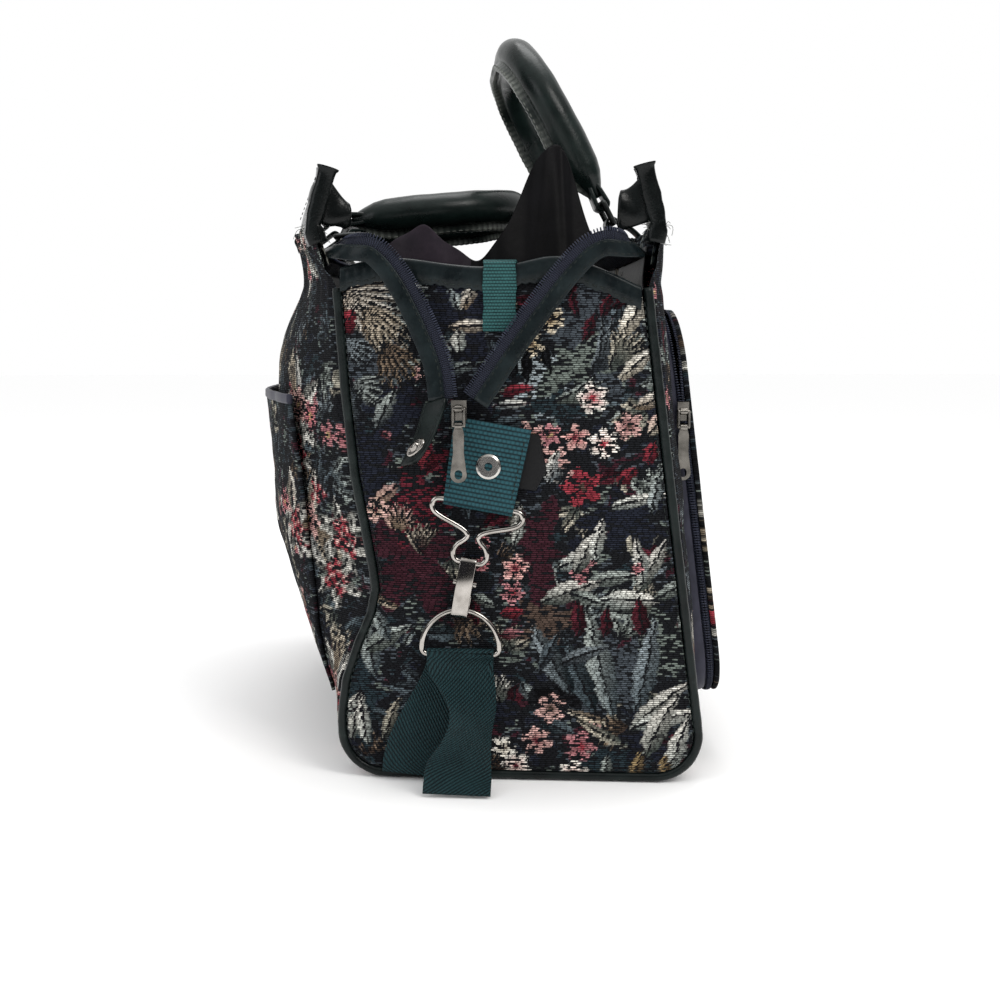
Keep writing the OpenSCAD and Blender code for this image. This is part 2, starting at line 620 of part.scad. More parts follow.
// Front pocket: layers over the front side, with a straight zip edge
pocket_half = (pocket_top - pocket_bottom) / 2;
pocket_middle = (pocket_top + pocket_bottom) / 2;
pocket_rows = concat([for (k = [0 : 3]) pocket_bottom + pocket_corner * (1 - cos(k * 30))],
  [for (k = [1 : 5]) pocket_bottom + pocket_corner + (2 * pocket_half - 2 * pocket_corner) * k / 6],
  [for (k = [3 : -1 : 0]) pocket_top - pocket_corner * (1 - cos(k * 30))]);
function pocket_cut(z) = corner_cut(pocket_corner,
  max(pocket_bottom + pocket_corner - z, z - pocket_top + pocket_corner));
function pocket_reach(z, inset) = pocket_length / 2 - inset - pocket_cut(z);
function pocket_plane(z) = shift(z) + half_width(z);
function pocket_point(s, z, out, inset) = let (h = (z - pocket_middle) / pocket_half, a = pocket_plane(z))
  [a * cos(rack) + out + pocket_dome * (1 - s * s) * (1 - h * h), s * pocket_reach(z, inset) - a * sin(rack),
   pocket_middle + (z - pocket_middle) * (1 - inset / pocket_half)];
function pocket_sheet(out, inset) = [for (z = pocket_rows)
  [for (j = [-5 : 5]) pocket_point(j / 5, z, out, inset)]];
function pocket_back(s, z) = side_point(1, s * pocket_reach(z, 0) / (bag_length / 2), z, 0) + [0.8, 0, 0];

module pocket_gusset() {
  color([0.07, 0.08, 0.11]) sheet_solid(pocket_sheet(pocket_depth, 0),
    [for (z = pocket_rows) [for (j = [-5 : 5]) pocket_back(j / 5, z)]]);
}

module pocket_zip() {
  out = pocket_depth + layer_gap;
  color([0.06, 0.07, 0.09]) sheet_solid(pocket_sheet(out + zip_thick, 1.5), pocket_sheet(out, 1.5));
}

module pocket_front() {
  out = pocket_depth + 2 * layer_gap + zip_thick;
  color([0.19, 0.18, 0.17]) sheet_solid(pocket_sheet(out + front_panel_thick, 0), pocket_sheet(out, 0));
}

coil_out = pocket_depth + layer_gap + zip_thick / 2;
coil_rows = concat([for (k = [2 : 10]) pocket_rows[k]],
  [for (k = [2 : -1 : 0]) pocket_top - pocket_corner * (1 - cos(k * 30))]);
function coil_point(s, z) = pocket_point(s, z, coil_out, -0.4);
coil_line = concat([for (z = coil_rows) coil_point(-1, z)], [for (j = [-2 : 2]) coil_point(j / 3, pocket_top)],
  [for (z = reversed(coil_rows)) coil_point(1, z)]);

module pocket_coil() {
  up = unit([cos(rack), 0, 0]);
  color([0.2, 0.2, 0.22]) sweep(tube_rings(coil_line, 1.7, up, 6, false));
}

slider_z = pocket_bottom + 0.745 * (pocket_top - pocket_bottom);
slider_place = coil_point(-1, slider_z);

module at_pocket_zip(drop) {
  translate(slider_place + [0, -5, -drop]) children();
}

module pocket_slider() {
  color([0.6, 0.6, 0.58]) at_pocket_zip(0) {
    translate([-3.6, 1.2, -6]) cube([7.2, 1.6, 12]);
    difference() {
      union() {
        translate([-2.1, 0, -2.2]) cube([4.2, 1.4, 4.4]);
        round_bar(4.2, 2.2);
      }
      round_bar(6, 1.1);
    }
  }
}

module pocket_link() {
  color([0.72, 0.72, 0.7]) at_pocket_zip(0) link_loop();
}

module pocket_pull() {
  color([0.72, 0.72, 0.7]) at_pocket_zip(link_drop) pull_tab();
}

// Back slip pocket: a patch whose upper edge stands off a little
slip_low = corner_radius + 12;
slip_rows = concat([slip_low], [for (z = side_rows) if (z > slip_low + 4 && z < slip_top - 4) z], [slip_top]);
slip_last = len(slip_rows) - 1;
function slip_point(u, z, out) = side_point(-1, u, z, 0) - [out, 0, 0];
function slip_gape(k) = 3.2 + 6 * pow((slip_rows[k] - slip_low) / (slip_top - slip_low), 3);
slip_columns = concat([0.76], [for (u = reversed(side_columns)) if (abs(u) < 0.74) u], [-0.76]);

module slip_pocket() {
  outer = [for (k = [0 : slip_last]) [for (u = slip_columns) slip_point(u, slip_rows[k], slip_gape(k))]];
  inner = [for (k = [0 : slip_last])
    [for (u = slip_columns) slip_point(u, slip_rows[k], max(0.5, slip_gape(k) - 2.4))]];
  color([0.19, 0.18, 0.17]) sheet_solid(outer, inner);
}

module slip_binding() {
  z = slip_top;
  rows = [z + 0.1, z + 5];
  outer = [for (h = rows) [for (u = slip_columns) slip_point(u, h, slip_gape(slip_last) + 0.4)]];
  inner = [for (h = rows) [for (u = slip_columns) slip_point(u, h, slip_gape(slip_last) - 2.8)]];
  color([0.06, 0.07, 0.08]) sheet_solid(outer, inner);
}

// Strap clip on the near end, drawn round the bar in the tab: across, into the bag, up
module at_clip(drop) {
  at_end(-1) translate([tab_across, bar_out, tab_foot]) rotate([0, clip_tilt, 0])
    translate([0, 0, -drop]) children();
}

module clip_tab() {
  back = tab_bore;
  color([0.11, 0.24, 0.23]) at_clip(0) translate([-tab_width / 2, 0, 0]) rotate([90, 0, 90])
    linear_extrude(height = tab_width) difference() {
      union() {
        intersection() {
          circle(tab_bore + web);
          translate([-10, -10]) square([20, 10]);
        }
        translate([back, 0]) square([web, tab_height]);
        polygon([[-back - web, 0], [-back, 0], [back - 0.6, tab_height - 7], [back + 0.1, tab_height - 7],
          [back + 0.1, tab_height], [back - 0.6 - web, tab_height]]);
      }
      circle(tab_bore);
    }
}

module clip_patch() {
  half = tab_width / 2;
  color([0.05, 0.05, 0.05]) at_clip(0) translate([0, tab_bore + web + 0.2, 0]) rotate([-90, 0, 0])
    linear_extrude(height = tab_patch_thick)
      polygon([[4 - half, -12], [half + 8, -14], [half + 12, -28], [half + 4, -48], [6 - half, -46]]);
}

socket_up = 24;
front_slope = atan2(2 * tab_bore - 0.6, tab_height - 7);

module clip_socket() {
  y = -tab_bore - web + (2 * tab_bore - 0.6) * socket_up / (tab_height - 7);
  color([0.68, 0.68, 0.66]) at_clip(0) translate([2, y - 0.35, socket_up]) rotate([90 - front_slope, 0, 0])
    rotate_extrude() polygon([[2.4, 0], [7.5, 0], [7.5, 0.8], [6.2, 1.6], [4.4, 1.6], [4.4, 0.9], [2.4, 0.9]]);
}

// Omega wire: wide bar in the tab, shoulders, a narrow neck and a lower loop whose bar holds the hook
wire_half = tab_width / 2 + 3.5;
eye_half = hook_width / 2 + 2.4;
wire_side = [[wire_half - 2, 0], [wire_half + 1.4, -1.6], [wire_half + 2.2, -5], [wire_half - 0.6, -8.4],
  [wire_half - 7, -10.6], [12, -13.6], [5.6, -16.2], [3.2, -18.8], [5.4, -21.6], [9.6, -24.4],
  [eye_half + 3.8, -28.4], [eye_half + 3.9, 4.2 - wire_drop], [eye_half + 2.2, 1.2 - wire_drop],
  [eye_half, -wire_drop]];
function wire_path() = concat([for (p = wire_side) [p[0], 0, p[1]]],
  [for (p = reversed(wire_side)) [-p[0], 0, p[1]]]);

module clip_wire() {
  color([0.7, 0.7, 0.68]) at_clip(0) {
    sweep(tube_rings(wire_path(), wire_radius - 0.03, [0, 1, 0], 10, true), true);
    round_bar(2 * wire_half - 4, wire_radius);
    translate([0, 0, -wire_drop]) round_bar(2 * eye_half, wire_radius);
  }
}

// Hook: a flat strip with an eye at its top and a bend at its foot, open towards the bag
module hook_profile() {
  front = -eye_bore - hook_plate;
  bend_middle = -eye_bore + hook_bend;
  difference() {
    union() {
      circle(eye_bore + hook_plate);
      translate([front, -hook_reach - 2]) square([hook_plate, hook_reach + 2]);
      intersection() {
        translate([bend_middle, -hook_reach - 2]) circle(hook_bend + hook_plate);
        translate([-20, -hook_reach - 22]) square([40, 20]);
      }
      translate([bend_middle + hook_bend, -hook_reach - 2.1]) square([hook_plate, 9]);
    }
    circle(eye_bore);
    translate([bend_middle, -hook_reach - 2]) circle(hook_bend);
    translate([-eye_bore, -hook_reach - 2]) square([2 * hook_bend, 20]);
  }
}

module hook() {
  color([0.75, 0.75, 0.74]) at_clip(wire_drop) {
    translate([-hook_width / 2, 0, 0]) rotate([90, 0, 90])
      linear_extrude(height = hook_width) hook_profile();
    for (x = [-hook_width / 2, hook_width / 2 - 1.2]) difference() {
      translate([x, -eye_bore - 0.5, gate_pivot - 3]) cube([1.2, 4.2, 6]);
      translate([0, 0.6, gate_pivot]) round_bar(2 * hook_width, 1);
    }
  }
}

module hook_pin() {
  color([0.6, 0.6, 0.58]) at_clip(wire_drop) translate([0, 0.6, gate_pivot]) {
    round_bar(hook_width + 1, 0.95);
    for (side = [-1, 1]) translate([side * (hook_width / 2 + 1.1), 0, 0]) round_bar(2, 1.9);
  }
}

module hook_gate() {
  low = 6 - hook_reach;
  tip = hook_bend * 2 - eye_bore - 0.5;
  color([0.66, 0.66, 0.65]) at_clip(wire_drop) rotate([90, 0, 90])
    linear_extrude(height = hook_width - 3.4, center = true) difference() {
      union() {
        translate([0.6, gate_pivot]) circle(2);
        polygon([[tip - 1.5, low - 2], [tip, low - 2], [tip, low], [2.2, gate_pivot], [0, gate_pivot - 1.6]]);
      }
      translate([0.6, gate_pivot]) circle(1.05);
    }
}

// D-ring that hangs in the hook, with its straight bar below, and the strap folded over that bar
module at_ring() {
  at_end(-1) translate(ring_hang) children();
}

bar_drop = ring_radius + ring_corner;

module ring_turn(radius, from, angle) {
  rotate([90, 0, 0]) rotate([0, 0, from]) rotate_extrude(angle = angle)
    translate([radius, 0]) circle(wire_radius);
}

module strap_ring() {
  flat_half = ring_radius - ring_corner;
  color([0.72, 0.72, 0.7]) at_ring() {
    translate([0, 0, -ring_radius]) ring_turn(ring_radius, 0, 180);
    translate([-flat_half, 0, -ring_radius]) ring_turn(ring_corner, 180, 90);
    translate([flat_half, 0, -ring_radius]) ring_turn(ring_corner, 270, 90);
    translate([0, 0, -bar_drop]) round_bar(2 * flat_half, wire_radius);
  }
}

// The strap goes from its back tail up over the bar and down to its front tail
strap_way = wire_radius + 0.2 + web / 2;
strap_fall = ring_hang[2] - bar_drop;
tail_steps = [0, 0.12, 0.3, 0.5, 0.7, 0.88];
function tail_turn(t) = 52 * sin(180 * t);
back_tail = [for (t = tail_steps)
  [[-14.5 * (1 + cos(180 * t)), strap_way + 0.6 - 1.6 * sin(180 * t), -(strap_fall - 4) * (1 - t)], [1, 0, 0]]];
strap_turn = [for (k = [0 : 6]) [[0, strap_way * cos(k * 30), strap_way * sin(k * 30)], [1, 0, 0]]];
front_tail = [for (t = [0.12, 0.3, 0.5, 0.7, 0.86, 1])
  [[2 * pow(sin(180 * t), 2), -strap_way - 1 - 3 * t - 22 * pow(t, 3) - 8 * sin(180 * t),
    -(strap_fall - 1.8) * t],
   [cos(tail_turn(t)), sin(tail_turn(t)), 0]]];
strap_line = concat(back_tail, strap_turn, front_tail);

module strap() {
  rings = [for (i = [0 : len(strap_line) - 1])
    let (t = tangent([for (p = strap_line) p[0]], i, false), w = unit(strap_line[i][1]), o = unit(cross(t, w)),
      h = strap_width / 2)
    [for (p = [[-h, -web / 2], [h, -web / 2], [h, web / 2], [-h, web / 2]])
      strap_line[i][0] + unit(cross(o, t)) * p[0] + o * p[1]]];
  color([0.12, 0.24, 0.23]) at_ring() translate([0, 0, -bar_drop]) sweep(rings);
}

end_panel(-1);  // end_panel_near
end_panel(1);  // end_panel_far
side_panel(-1);  // back_panel
side_panel(1);  // front_panel
base_panel();
base_board();
lining();
piping(-1);  // piping_near
piping(1);  // piping_far
binding(-1);  // binding_near
binding(1);  // binding_far
grab_loop(-1);  // grab_loop_near
grab_loop(1);  // grab_loop_far
ear(-1, -1);  // ear_near_back
ear(1, -1);  // ear_near_front
ear(-1, 1);  // ear_far_back
ear(1, 1);  // ear_far_front
corner_snaps();
zip_tape(-1);  // zip_tape_back
zip_tape(1);  // zip_tape_front
zip_coil(-1);  // zip_coil_back
zip_coil(1);  // zip_coil_front
zip_facing(-1);  // zip_facing_back
zip_facing(1);  // zip_facing_front
zip_slider();
zip_link();
zip_pull();
zip_end_tab();
zip_end_snap();
zip_far_stop();
end_flap();
chapes(-1);  // chapes_back
chapes(1);  // chapes_front
handle_rings(-1);  // handle_rings_back
handle_rings(1);  // handle_rings_front
handle(-1);  // handle_back
handle(1);  // handle_front
pocket_gusset();
pocket_zip();
pocket_coil();
pocket_front();
pocket_slider();
pocket_link();
pocket_pull();
slip_pocket();
slip_binding();
clip_tab();
clip_patch();
clip_socket();
clip_wire();
hook();
hook_gate();
hook_pin();
strap_ring();
strap();
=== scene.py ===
import math
from functools import partial
import bpy
import numpy as np
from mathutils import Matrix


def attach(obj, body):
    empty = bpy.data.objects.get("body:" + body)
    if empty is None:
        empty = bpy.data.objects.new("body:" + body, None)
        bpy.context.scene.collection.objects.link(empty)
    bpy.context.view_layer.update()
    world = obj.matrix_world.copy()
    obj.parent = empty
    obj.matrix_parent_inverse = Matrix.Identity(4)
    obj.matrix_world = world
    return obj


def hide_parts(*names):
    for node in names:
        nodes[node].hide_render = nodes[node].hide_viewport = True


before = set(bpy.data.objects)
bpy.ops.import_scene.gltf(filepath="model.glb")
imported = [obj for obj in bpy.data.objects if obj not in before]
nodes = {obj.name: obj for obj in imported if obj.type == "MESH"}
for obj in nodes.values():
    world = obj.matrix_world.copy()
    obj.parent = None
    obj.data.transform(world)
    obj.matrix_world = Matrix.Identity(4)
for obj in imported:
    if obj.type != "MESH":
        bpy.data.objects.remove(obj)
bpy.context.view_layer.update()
scene = bpy.context.scene
scene.view_settings.view_transform = "Standard"
print("frame loaded,", len(nodes), "nodes")

# the stance of the bag, in millimetres, as the solids have it
bag = {
    "length": 430.0, "base": 228.0, "mouth": 194.0, "endHigh": 308.0, "crown": 10.0, "sideHigh": 342.0,
    "corner": 30.0, "backSwell": 50.0, "frontSwell": 16.0, "rimShare": 0.45, "endSwell": 5.0, "lean": 20.0,
    "flare": 10.0, "rack": math.radians(7), "seamInset": 6.3, "cloth": 3.0, "kinkReach": 46.0,
}
cosR = math.cos(bag["rack"])
sinR = math.sin(bag["rack"])
halfLength = bag["length"] / 2
endNames = {-1: "Near", 1: "Far"}
sideNames = {-1: "Back", 1: "Front"}


def halfWidth(z):
    taper = (bag["mouth"] - bag["base"]) / 2 * np.maximum(0, z - bag["corner"]) / (bag["endHigh"] - bag["corner"])
    spread = bag["flare"] * np.maximum(0, z - bag["endHigh"]) / (bag["sideHigh"] - bag["endHigh"])
    return bag["base"] / 2 + taper + spread


def shift(z):
    return -bag["lean"] * np.maximum(0, z - bag["corner"]) / (bag["sideHigh"] - bag["corner"])


def edgeAt(z, inset):
    c = bag["corner"] - inset
    d = np.maximum(0, bag["corner"] - z)
    return halfWidth(z) - inset - (c - np.sqrt(np.maximum(0, c * c - d * d)))


def swellAlong(u):
    return 1 - np.minimum(1, np.abs(u)) ** 2.2


def swellUp(z):
    rise = np.clip((z - bag["corner"]) / (bag["sideHigh"] - bag["corner"]), 0, 1)
    top = (1 - bag["rimShare"]) * (1 - np.cos(np.pi * np.maximum(0, rise - 0.7) / 0.3)) / 2
    return np.sin(np.pi / 2 * np.minimum(1, rise / 0.42)) - top


def endOut(s, z):
    return bag["endSwell"] * (1 - s * s) * np.sin(np.pi * np.minimum(1, z / bag["endHigh"])) ** 2


def endPoint(end, a, b, z):
    a, b, z = np.broadcast_arrays(np.asarray(a, float), np.asarray(b, float), np.asarray(z, float))
    return np.stack([a * cosR - end * b * sinR, end * halfLength - a * sinR - end * b * cosR, z], -1)


def against(end, points):
    return endPoint(end, points[..., 0], points[..., 1], points[..., 2])


# the way that an end faces
def outOf(end):
    return endPoint(end, 0.0, -1.0, 0.0) - endPoint(end, 0.0, 0.0, 0.0)


def sidePoint(side, u, z, inset=0.0):
    u, z = np.broadcast_arrays(np.asarray(u, float), np.asarray(z, float))
    a = shift(z) + side * edgeAt(z, inset)
    swell = bag["backSwell"] if side < 0 else bag["frontSwell"]
    x = a * cosR + side * swell * swellAlong(u) * swellUp(z)
    return np.stack([x, u * halfLength - a * sinR, z], -1)


def bump(x, middle, spread):
    return np.exp(-((x - middle) / spread) ** 2)


# how far the near seam of the back side is pulled in, by height
def pinch(z):
    return np.interp(z, [0, 40, 62, 85, 104, 119, 132, 152, 190, 240, 300, 345],
                     [0, 0, 3, 11, 19, 22, 20.5, 17, 10, 5, 1, 0])


# the same pull along the back side, fading away from that seam
def pinchPull(u, z):
    return pinch(z) * np.exp(-((u + 1) * halfLength / bag["kinkReach"]) ** 2)


def unit(v):
    return v / np.maximum(1e-9, np.linalg.norm(v, axis=-1, keepdims=True))


def roundAngles(count):
    return np.linspace(0, 2 * math.pi, count, endpoint=False)


def tangents(path, closed=False):
    if closed:
        return unit(np.roll(path, -1, 0) - np.roll(path, 1, 0))
    return unit(np.gradient(path, axis=0))


# colours are picked as seen on a screen, shaders want them linear
def linear(rgb):
    c = np.asarray(rgb, float) / 255
    return np.where(c <= 0.04045, c / 12.92, ((c + 0.055) / 1.055) ** 2.4)


def rgba(rgb):
    r, g, b = linear(rgb)
    return (float(r), float(g), float(b), 1.0)


def gridFaces(rows, cols, wrap=False, flip=False, start=0):
    i, j = np.meshgrid(np.arange(rows - 1), np.arange(cols if wrap else cols - 1), indexing="ij")
    k = (j + 1) % cols
    quads = np.stack([i * cols + j, i * cols + k, (i + 1) * cols + k, (i + 1) * cols + j], -1).reshape(-1, 4) + start
    return (quads[:, ::-1] if flip else quads).tolist()


def flipped(faces, turn=True):
    return [f[::-1] for f in faces] if turn else faces


# the outer loop of a grid of points, once round
def borderOf(rows, cols):
    low = list(range(cols))
    right = [i * cols + cols - 1 for i in range(1, rows)]
    top = [(rows - 1) * cols + j for j in range(cols - 2, -1, -1)]
    left = [i * cols for i in range(rows - 2, 0, -1)]
    return low + right + top + left


def makePiece(name, points, faces, material, body="bag", stands=(), uv=None, tint=None, smooth=True):
    mesh = bpy.data.meshes.new(name)
    points = np.asarray(points, float).reshape(-1, 3) / 1000
    mesh.from_pydata(points.tolist(), [], faces)
    corners = np.zeros(len(mesh.loops), dtype=np.int32)
    mesh.loops.foreach_get("vertex_index", corners)
    if uv is not None:
        layer = mesh.uv_layers.new(name="clothMap")
        flat = np.asarray(uv, float).reshape(-1, 2)[corners] / 1000
        layer.data.foreach_set("uv", flat.astype(np.float32).ravel())
    if tint is not None:
        layer = mesh.color_attributes.new("threadColour", "FLOAT_COLOR", "POINT")
        flat = np.ones((len(points), 4), dtype=np.float32)
        tint = np.asarray(tint).reshape(len(points), -1)
        flat[:, :tint.shape[1]] = tint
        layer.data.foreach_set("color", flat.ravel())
    if smooth:
        mesh.polygons.foreach_set("use_smooth", np.ones(len(mesh.polygons), dtype=bool))
    mesh.validate()
    mesh.update()
    piece = bpy.data.objects.new(name, mesh)
    scene.collection.objects.link(piece)
    mesh.materials.append(material)
    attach(piece, body)
    if stands:
        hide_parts(*stands)
    return piece


def thicken(piece, size, offset):
    thick = piece.modifiers.new("clothThickness", "SOLIDIFY")
    thick.thickness = size
    thick.offset = offset


def soften(piece, size):
    soft = piece.modifiers.new("softEdge", "BEVEL")
    soft.width = size
    soft.segments = 2
    return soft


def ringFaces(count, sides, closed=False, start=0, caps=True):
    faces = []
    last = count if closed else count - 1
    for i in range(last):
        p = start + i * sides
        q = start + (i + 1) % count * sides
        for k in range(sides):
            faces.append([p + k, p + (k + 1) % sides, q + (k + 1) % sides, q + k])
    if caps and not closed:
        faces.append([start + k for k in range(sides)][::-1])
        faces.append([start + (count - 1) * sides + k for k in range(sides)])
    return faces


# a flat bar profile with rounded corners, anticlockwise in (across, out)
def slab(left, right, low, high, radius, steps=3):
    points = []
    for cx, cy, start in [(right - radius, low + radius, -90), (right - radius, high - radius, 0),
                          (left + radius, high - radius, 90), (left + radius, low + radius, 180)]:
        for k in range(steps + 1):
            angle = math.radians(start + 90 * k / steps)
            points.append((cx + radius * math.cos(angle), cy + radius * math.sin(angle)))
    return np.array(points)


def flatBand(width, thick):
    return slab(-width / 2, width / 2, -thick / 2, thick / 2, 0.7)


def sweepRings(path, across, out, profile):
    profile = np.asarray(profile, float)
    if profile.ndim == 2:
        profile = np.repeat(profile[None], len(path), 0)
    return path[:, None, :] + across[:, None, :] * profile[..., :1] + out[:, None, :] * profile[..., 1:]


# a flat strip bent along a line in one plane; axes are those of the line's two values and of the strip's width
def stripRings(line, profile, axes, narrow=1.0, turn=1):
    t = unit(np.gradient(line, axis=0)) * turn
    out = np.stack([t[:, 1], -t[:, 0]], -1)
    first, second, across = axes
    rings = np.zeros((len(line), len(profile), 3))
    rings[..., first] = line[:, :1] + out[:, :1] * profile[None, :, 1]
    rings[..., second] = line[:, 1:] + out[:, 1:] * profile[None, :, 1]
    rings[..., across] = profile[None, :, 0] * np.reshape(narrow, (-1, 1))
    return rings


def along(path):
    return np.concatenate([[0], np.cumsum(np.linalg.norm(np.diff(path, axis=0), axis=1))])


def sweptUv(path, profile):
    profile = np.asarray(profile, float)
    if profile.ndim == 2:
        profile = np.repeat(profile[None], len(path), 0)
    run = np.repeat(along(path)[:, None], profile.shape[1], 1)
    return np.stack([profile[..., 0] + profile[..., 1], run], -1)


def tubeRings(path, radius, sides, up=None, closed=False):
    t = tangents(path, closed)
    if up is None:
        first = np.array([0.0, 0, 1]) if abs(t[0][2]) < 0.9 else np.array([1.0, 0, 0])
        frames = [unit(first - t[0] * (first @ t[0]))]
        for i in range(1, len(path)):
            v = frames[-1] - t[i] * (frames[-1] @ t[i])
            frames.append(unit(v))
        u = np.array(frames)
    else:
        u = unit(up - t * (t @ np.asarray(up, float))[:, None])
    w = np.cross(t, u)
    radius = np.broadcast_to(np.asarray(radius, float), (len(path),))
    angle = roundAngles(sides)
    return path[:, None, :] + radius[:, None, None] * (
        np.cos(angle)[None, :, None] * u[:, None, :] + np.sin(angle)[None, :, None] * w[:, None, :])


def pointAt(at, run, path):
    return np.stack([np.interp(at, run, path[:, k]) for k in range(3)], -1)


def resample(path, count):
    run = along(path)
    return pointAt(np.linspace(0, run[-1], count), run, path)


def spline(points, count):
    # a smooth curve that passes through every point
    p = np.asarray(points, float)
    p = np.concatenate([[2 * p[0] - p[1]], p, [2 * p[-1] - p[-2]]])
    out = []
    for i in range(1, len(p) - 2):
        for t in np.linspace(0, 1, count, endpoint=False):
            a, b, c, d = p[i - 1], p[i], p[i + 1], p[i + 2]
            bend = (2 * a - 5 * b + 4 * c - d) * t * t + (3 * b - a - 3 * c + d) * t ** 3
            out.append(0.5 * (2 * b + (c - a) * t + bend))
    out.append(p[-2])
    return np.array(out)


class Lot:
    # many small bits gathered in one mesh
    def __init__(self):
        self.points = []
        self.faces = []
        self.count = 0

    def add(self, points, faces):
        points = np.asarray(points, float).reshape(-1, 3)
        self.points.append(points)
        self.faces += [[k + self.count for k in f] for f in faces]
        self.count += len(points)

    def bar(self, start, end, radius, up, flat=1.0, sides=6):
        # a stitch: a short bar that thins to both ends
        start, end = np.asarray(start, float), np.asarray(end, float)
        steps = np.array([0, 0.12, 0.5, 0.88, 1.0])
        width = np.array([0.35, 0.85, 1.0, 0.85, 0.35]) * radius
        t = unit(end - start)
        u = unit(up - t * (up @ t))
        w = np.cross(t, u)
        angle = roundAngles(sides)
        rings = (start + (end - start) * steps[:, None])[:, None, :] + width[:, None, None] * (
            np.cos(angle)[None, :, None] * u * flat + np.sin(angle)[None, :, None] * w)
        self.add(rings, ringFaces(5, sides))

    def tube(self, path, radius, sides=5):
        rings = tubeRings(np.asarray(path, float), radius, sides)
        self.add(rings, ringFaces(len(rings), sides))

    def done(self, name, material, finish, body="bag", stands=()):
        return makePiece(name, np.concatenate(self.points), self.faces, material, body, stands)


def stitchRow(lot, path, up, length=3.0, gap=1.4, radius=0.42, lift=0.1, flat=0.7):
    run = along(path)
    count = int(run[-1] / (length + gap))
    for i in range(count):
        at = np.array([i * (length + gap) + 0.5, i * (length + gap) + 0.5 + length])
        ends = pointAt(at, run, path)
        way = pointAt(at.mean(), run, up)
        way = way / np.linalg.norm(way)
        lot.bar(ends[0] + way * lift, ends[1] + way * lift, radius, way, flat)


# inputs are numbers with a default, or a vector where that is None; all outputs are numbers
def newGroup(name, inputs, outputs):
    group = bpy.data.node_groups.new(name, "ShaderNodeTree")
    for label, value in inputs.items():
        kind = "NodeSocketVector" if value is None else "NodeSocketFloat"
        socket = group.interface.new_socket(label, in_out="INPUT", socket_type=kind)
        if value is not None:
            socket.default_value = value
    for label in outputs:
        group.interface.new_socket(label, in_out="OUTPUT", socket_type="NodeSocketFloat")
    return group, group.nodes.new("NodeGroupInput").outputs, group.nodes.new("NodeGroupOutput").inputs


def feed(tree, socket, value):
    if hasattr(value, "links"):
        tree.links.new(value, socket)
    elif value is not None:
        socket.default_value = value


def mathNode(tree, operation, a, b=None, c=None, clamp=False):
    node = tree.nodes.new("ShaderNodeMath")
    node.operation = operation
    node.use_clamp = clamp
    for socket, value in zip(node.inputs, (a, b, c)):
        feed(tree, socket, value)
    return node.outputs[0]


def mixNode(tree, fac, a, b):
    node = tree.nodes.new("ShaderNodeMix")
    node.data_type = "RGBA"
    for k, value in ((0, fac), (6, a), (7, b)):
        feed(tree, node.inputs[k], value)
    return node.outputs[2]


def noiseNode(tree, vector, scale, detail=2.0, rough=0.5):
    node = tree.nodes.new("ShaderNodeTexNoise")
    for label, value in (("Vector", vector), ("Scale", scale), ("Detail", detail), ("Roughness", rough)):
        feed(tree, node.inputs[label], value)
    return node.outputs["Fac"]


def rangeNode(tree, value, low, high, to=(0.0, 1.0)):
    node = tree.nodes.new("ShaderNodeMapRange")
    for label, number in zip(("Value", "From Min", "From Max", "To Min", "To Max"), (value, low, high, *to)):
        feed(tree, node.inputs[label], number)
    return node.outputs["Result"]


def splitNode(tree, vector):
    node = tree.nodes.new("ShaderNodeSeparateXYZ")
    tree.links.new(vector, node.inputs[0])
    return node.outputs


def objectPlace(tree):
    return tree.nodes.new("ShaderNodeTexCoord").outputs["Object"]


# rows of short floats of thread with dark gaps between, for cloth that is mapped in metres
def buildThreadGroup():
    group, start, end = newGroup("wovenThreads", {"Map": None, "Rib": 0.00128, "Dash": 0.0038},
                                 ("Thread", "Height", "Vary", "Chance"))
    op, link = partial(mathNode, group), group.links.new
    split = splitNode(group, start["Map"])
    wobble = noiseNode(group, start["Map"], 45.0)
    v = op("DIVIDE", op("MULTIPLY_ADD", wobble, 0.0016, split[1]), start["Rib"])
    row = op("FLOOR", v)
    across = op("ABSOLUTE", op("MULTIPLY_ADD", op("FRACT", v), 2.0, -1.0))
    rib = op("SUBTRACT", 1.0, op("POWER", across, 1.8))
    slip = group.nodes.new("ShaderNodeTexWhiteNoise")
    slip.noise_dimensions = "1D"
    link(row, slip.inputs["W"])
    u = op("ADD", slip.outputs["Value"], op("DIVIDE", split[0], start["Dash"]))
    beat = op("ABSOLUTE", op("MULTIPLY_ADD", op("FRACT", u), 2.0, -1.0))
    dash = op("SUBTRACT", 1.0, op("POWER", beat, 4.0))
    cell = group.nodes.new("ShaderNodeCombineXYZ")
    link(op("FLOOR", u), cell.inputs[0])
    link(row, cell.inputs[1])
    chance = group.nodes.new("ShaderNodeTexWhiteNoise")
    chance.noise_dimensions = "2D"
    link(cell.outputs[0], chance.inputs["Vector"])
    tone = group.nodes.new("ShaderNodeSeparateColor")
    link(chance.outputs["Color"], tone.inputs[0])
    # the Thread output falls from 1 on the crown of each float to 0 at its edges and tucked ends, and the material
    # darkens the colour with it as painted shade
    link(op("MULTIPLY", rib, op("MULTIPLY_ADD", dash, 0.7, 0.3)), end["Thread"])
    link(op("MULTIPLY", rib, op("MULTIPLY_ADD", dash, 0.5, 0.5)), end["Height"])
    link(tone.outputs["Green"], end["Vary"])
    link(chance.outputs["Value"], end["Chance"])
    return group


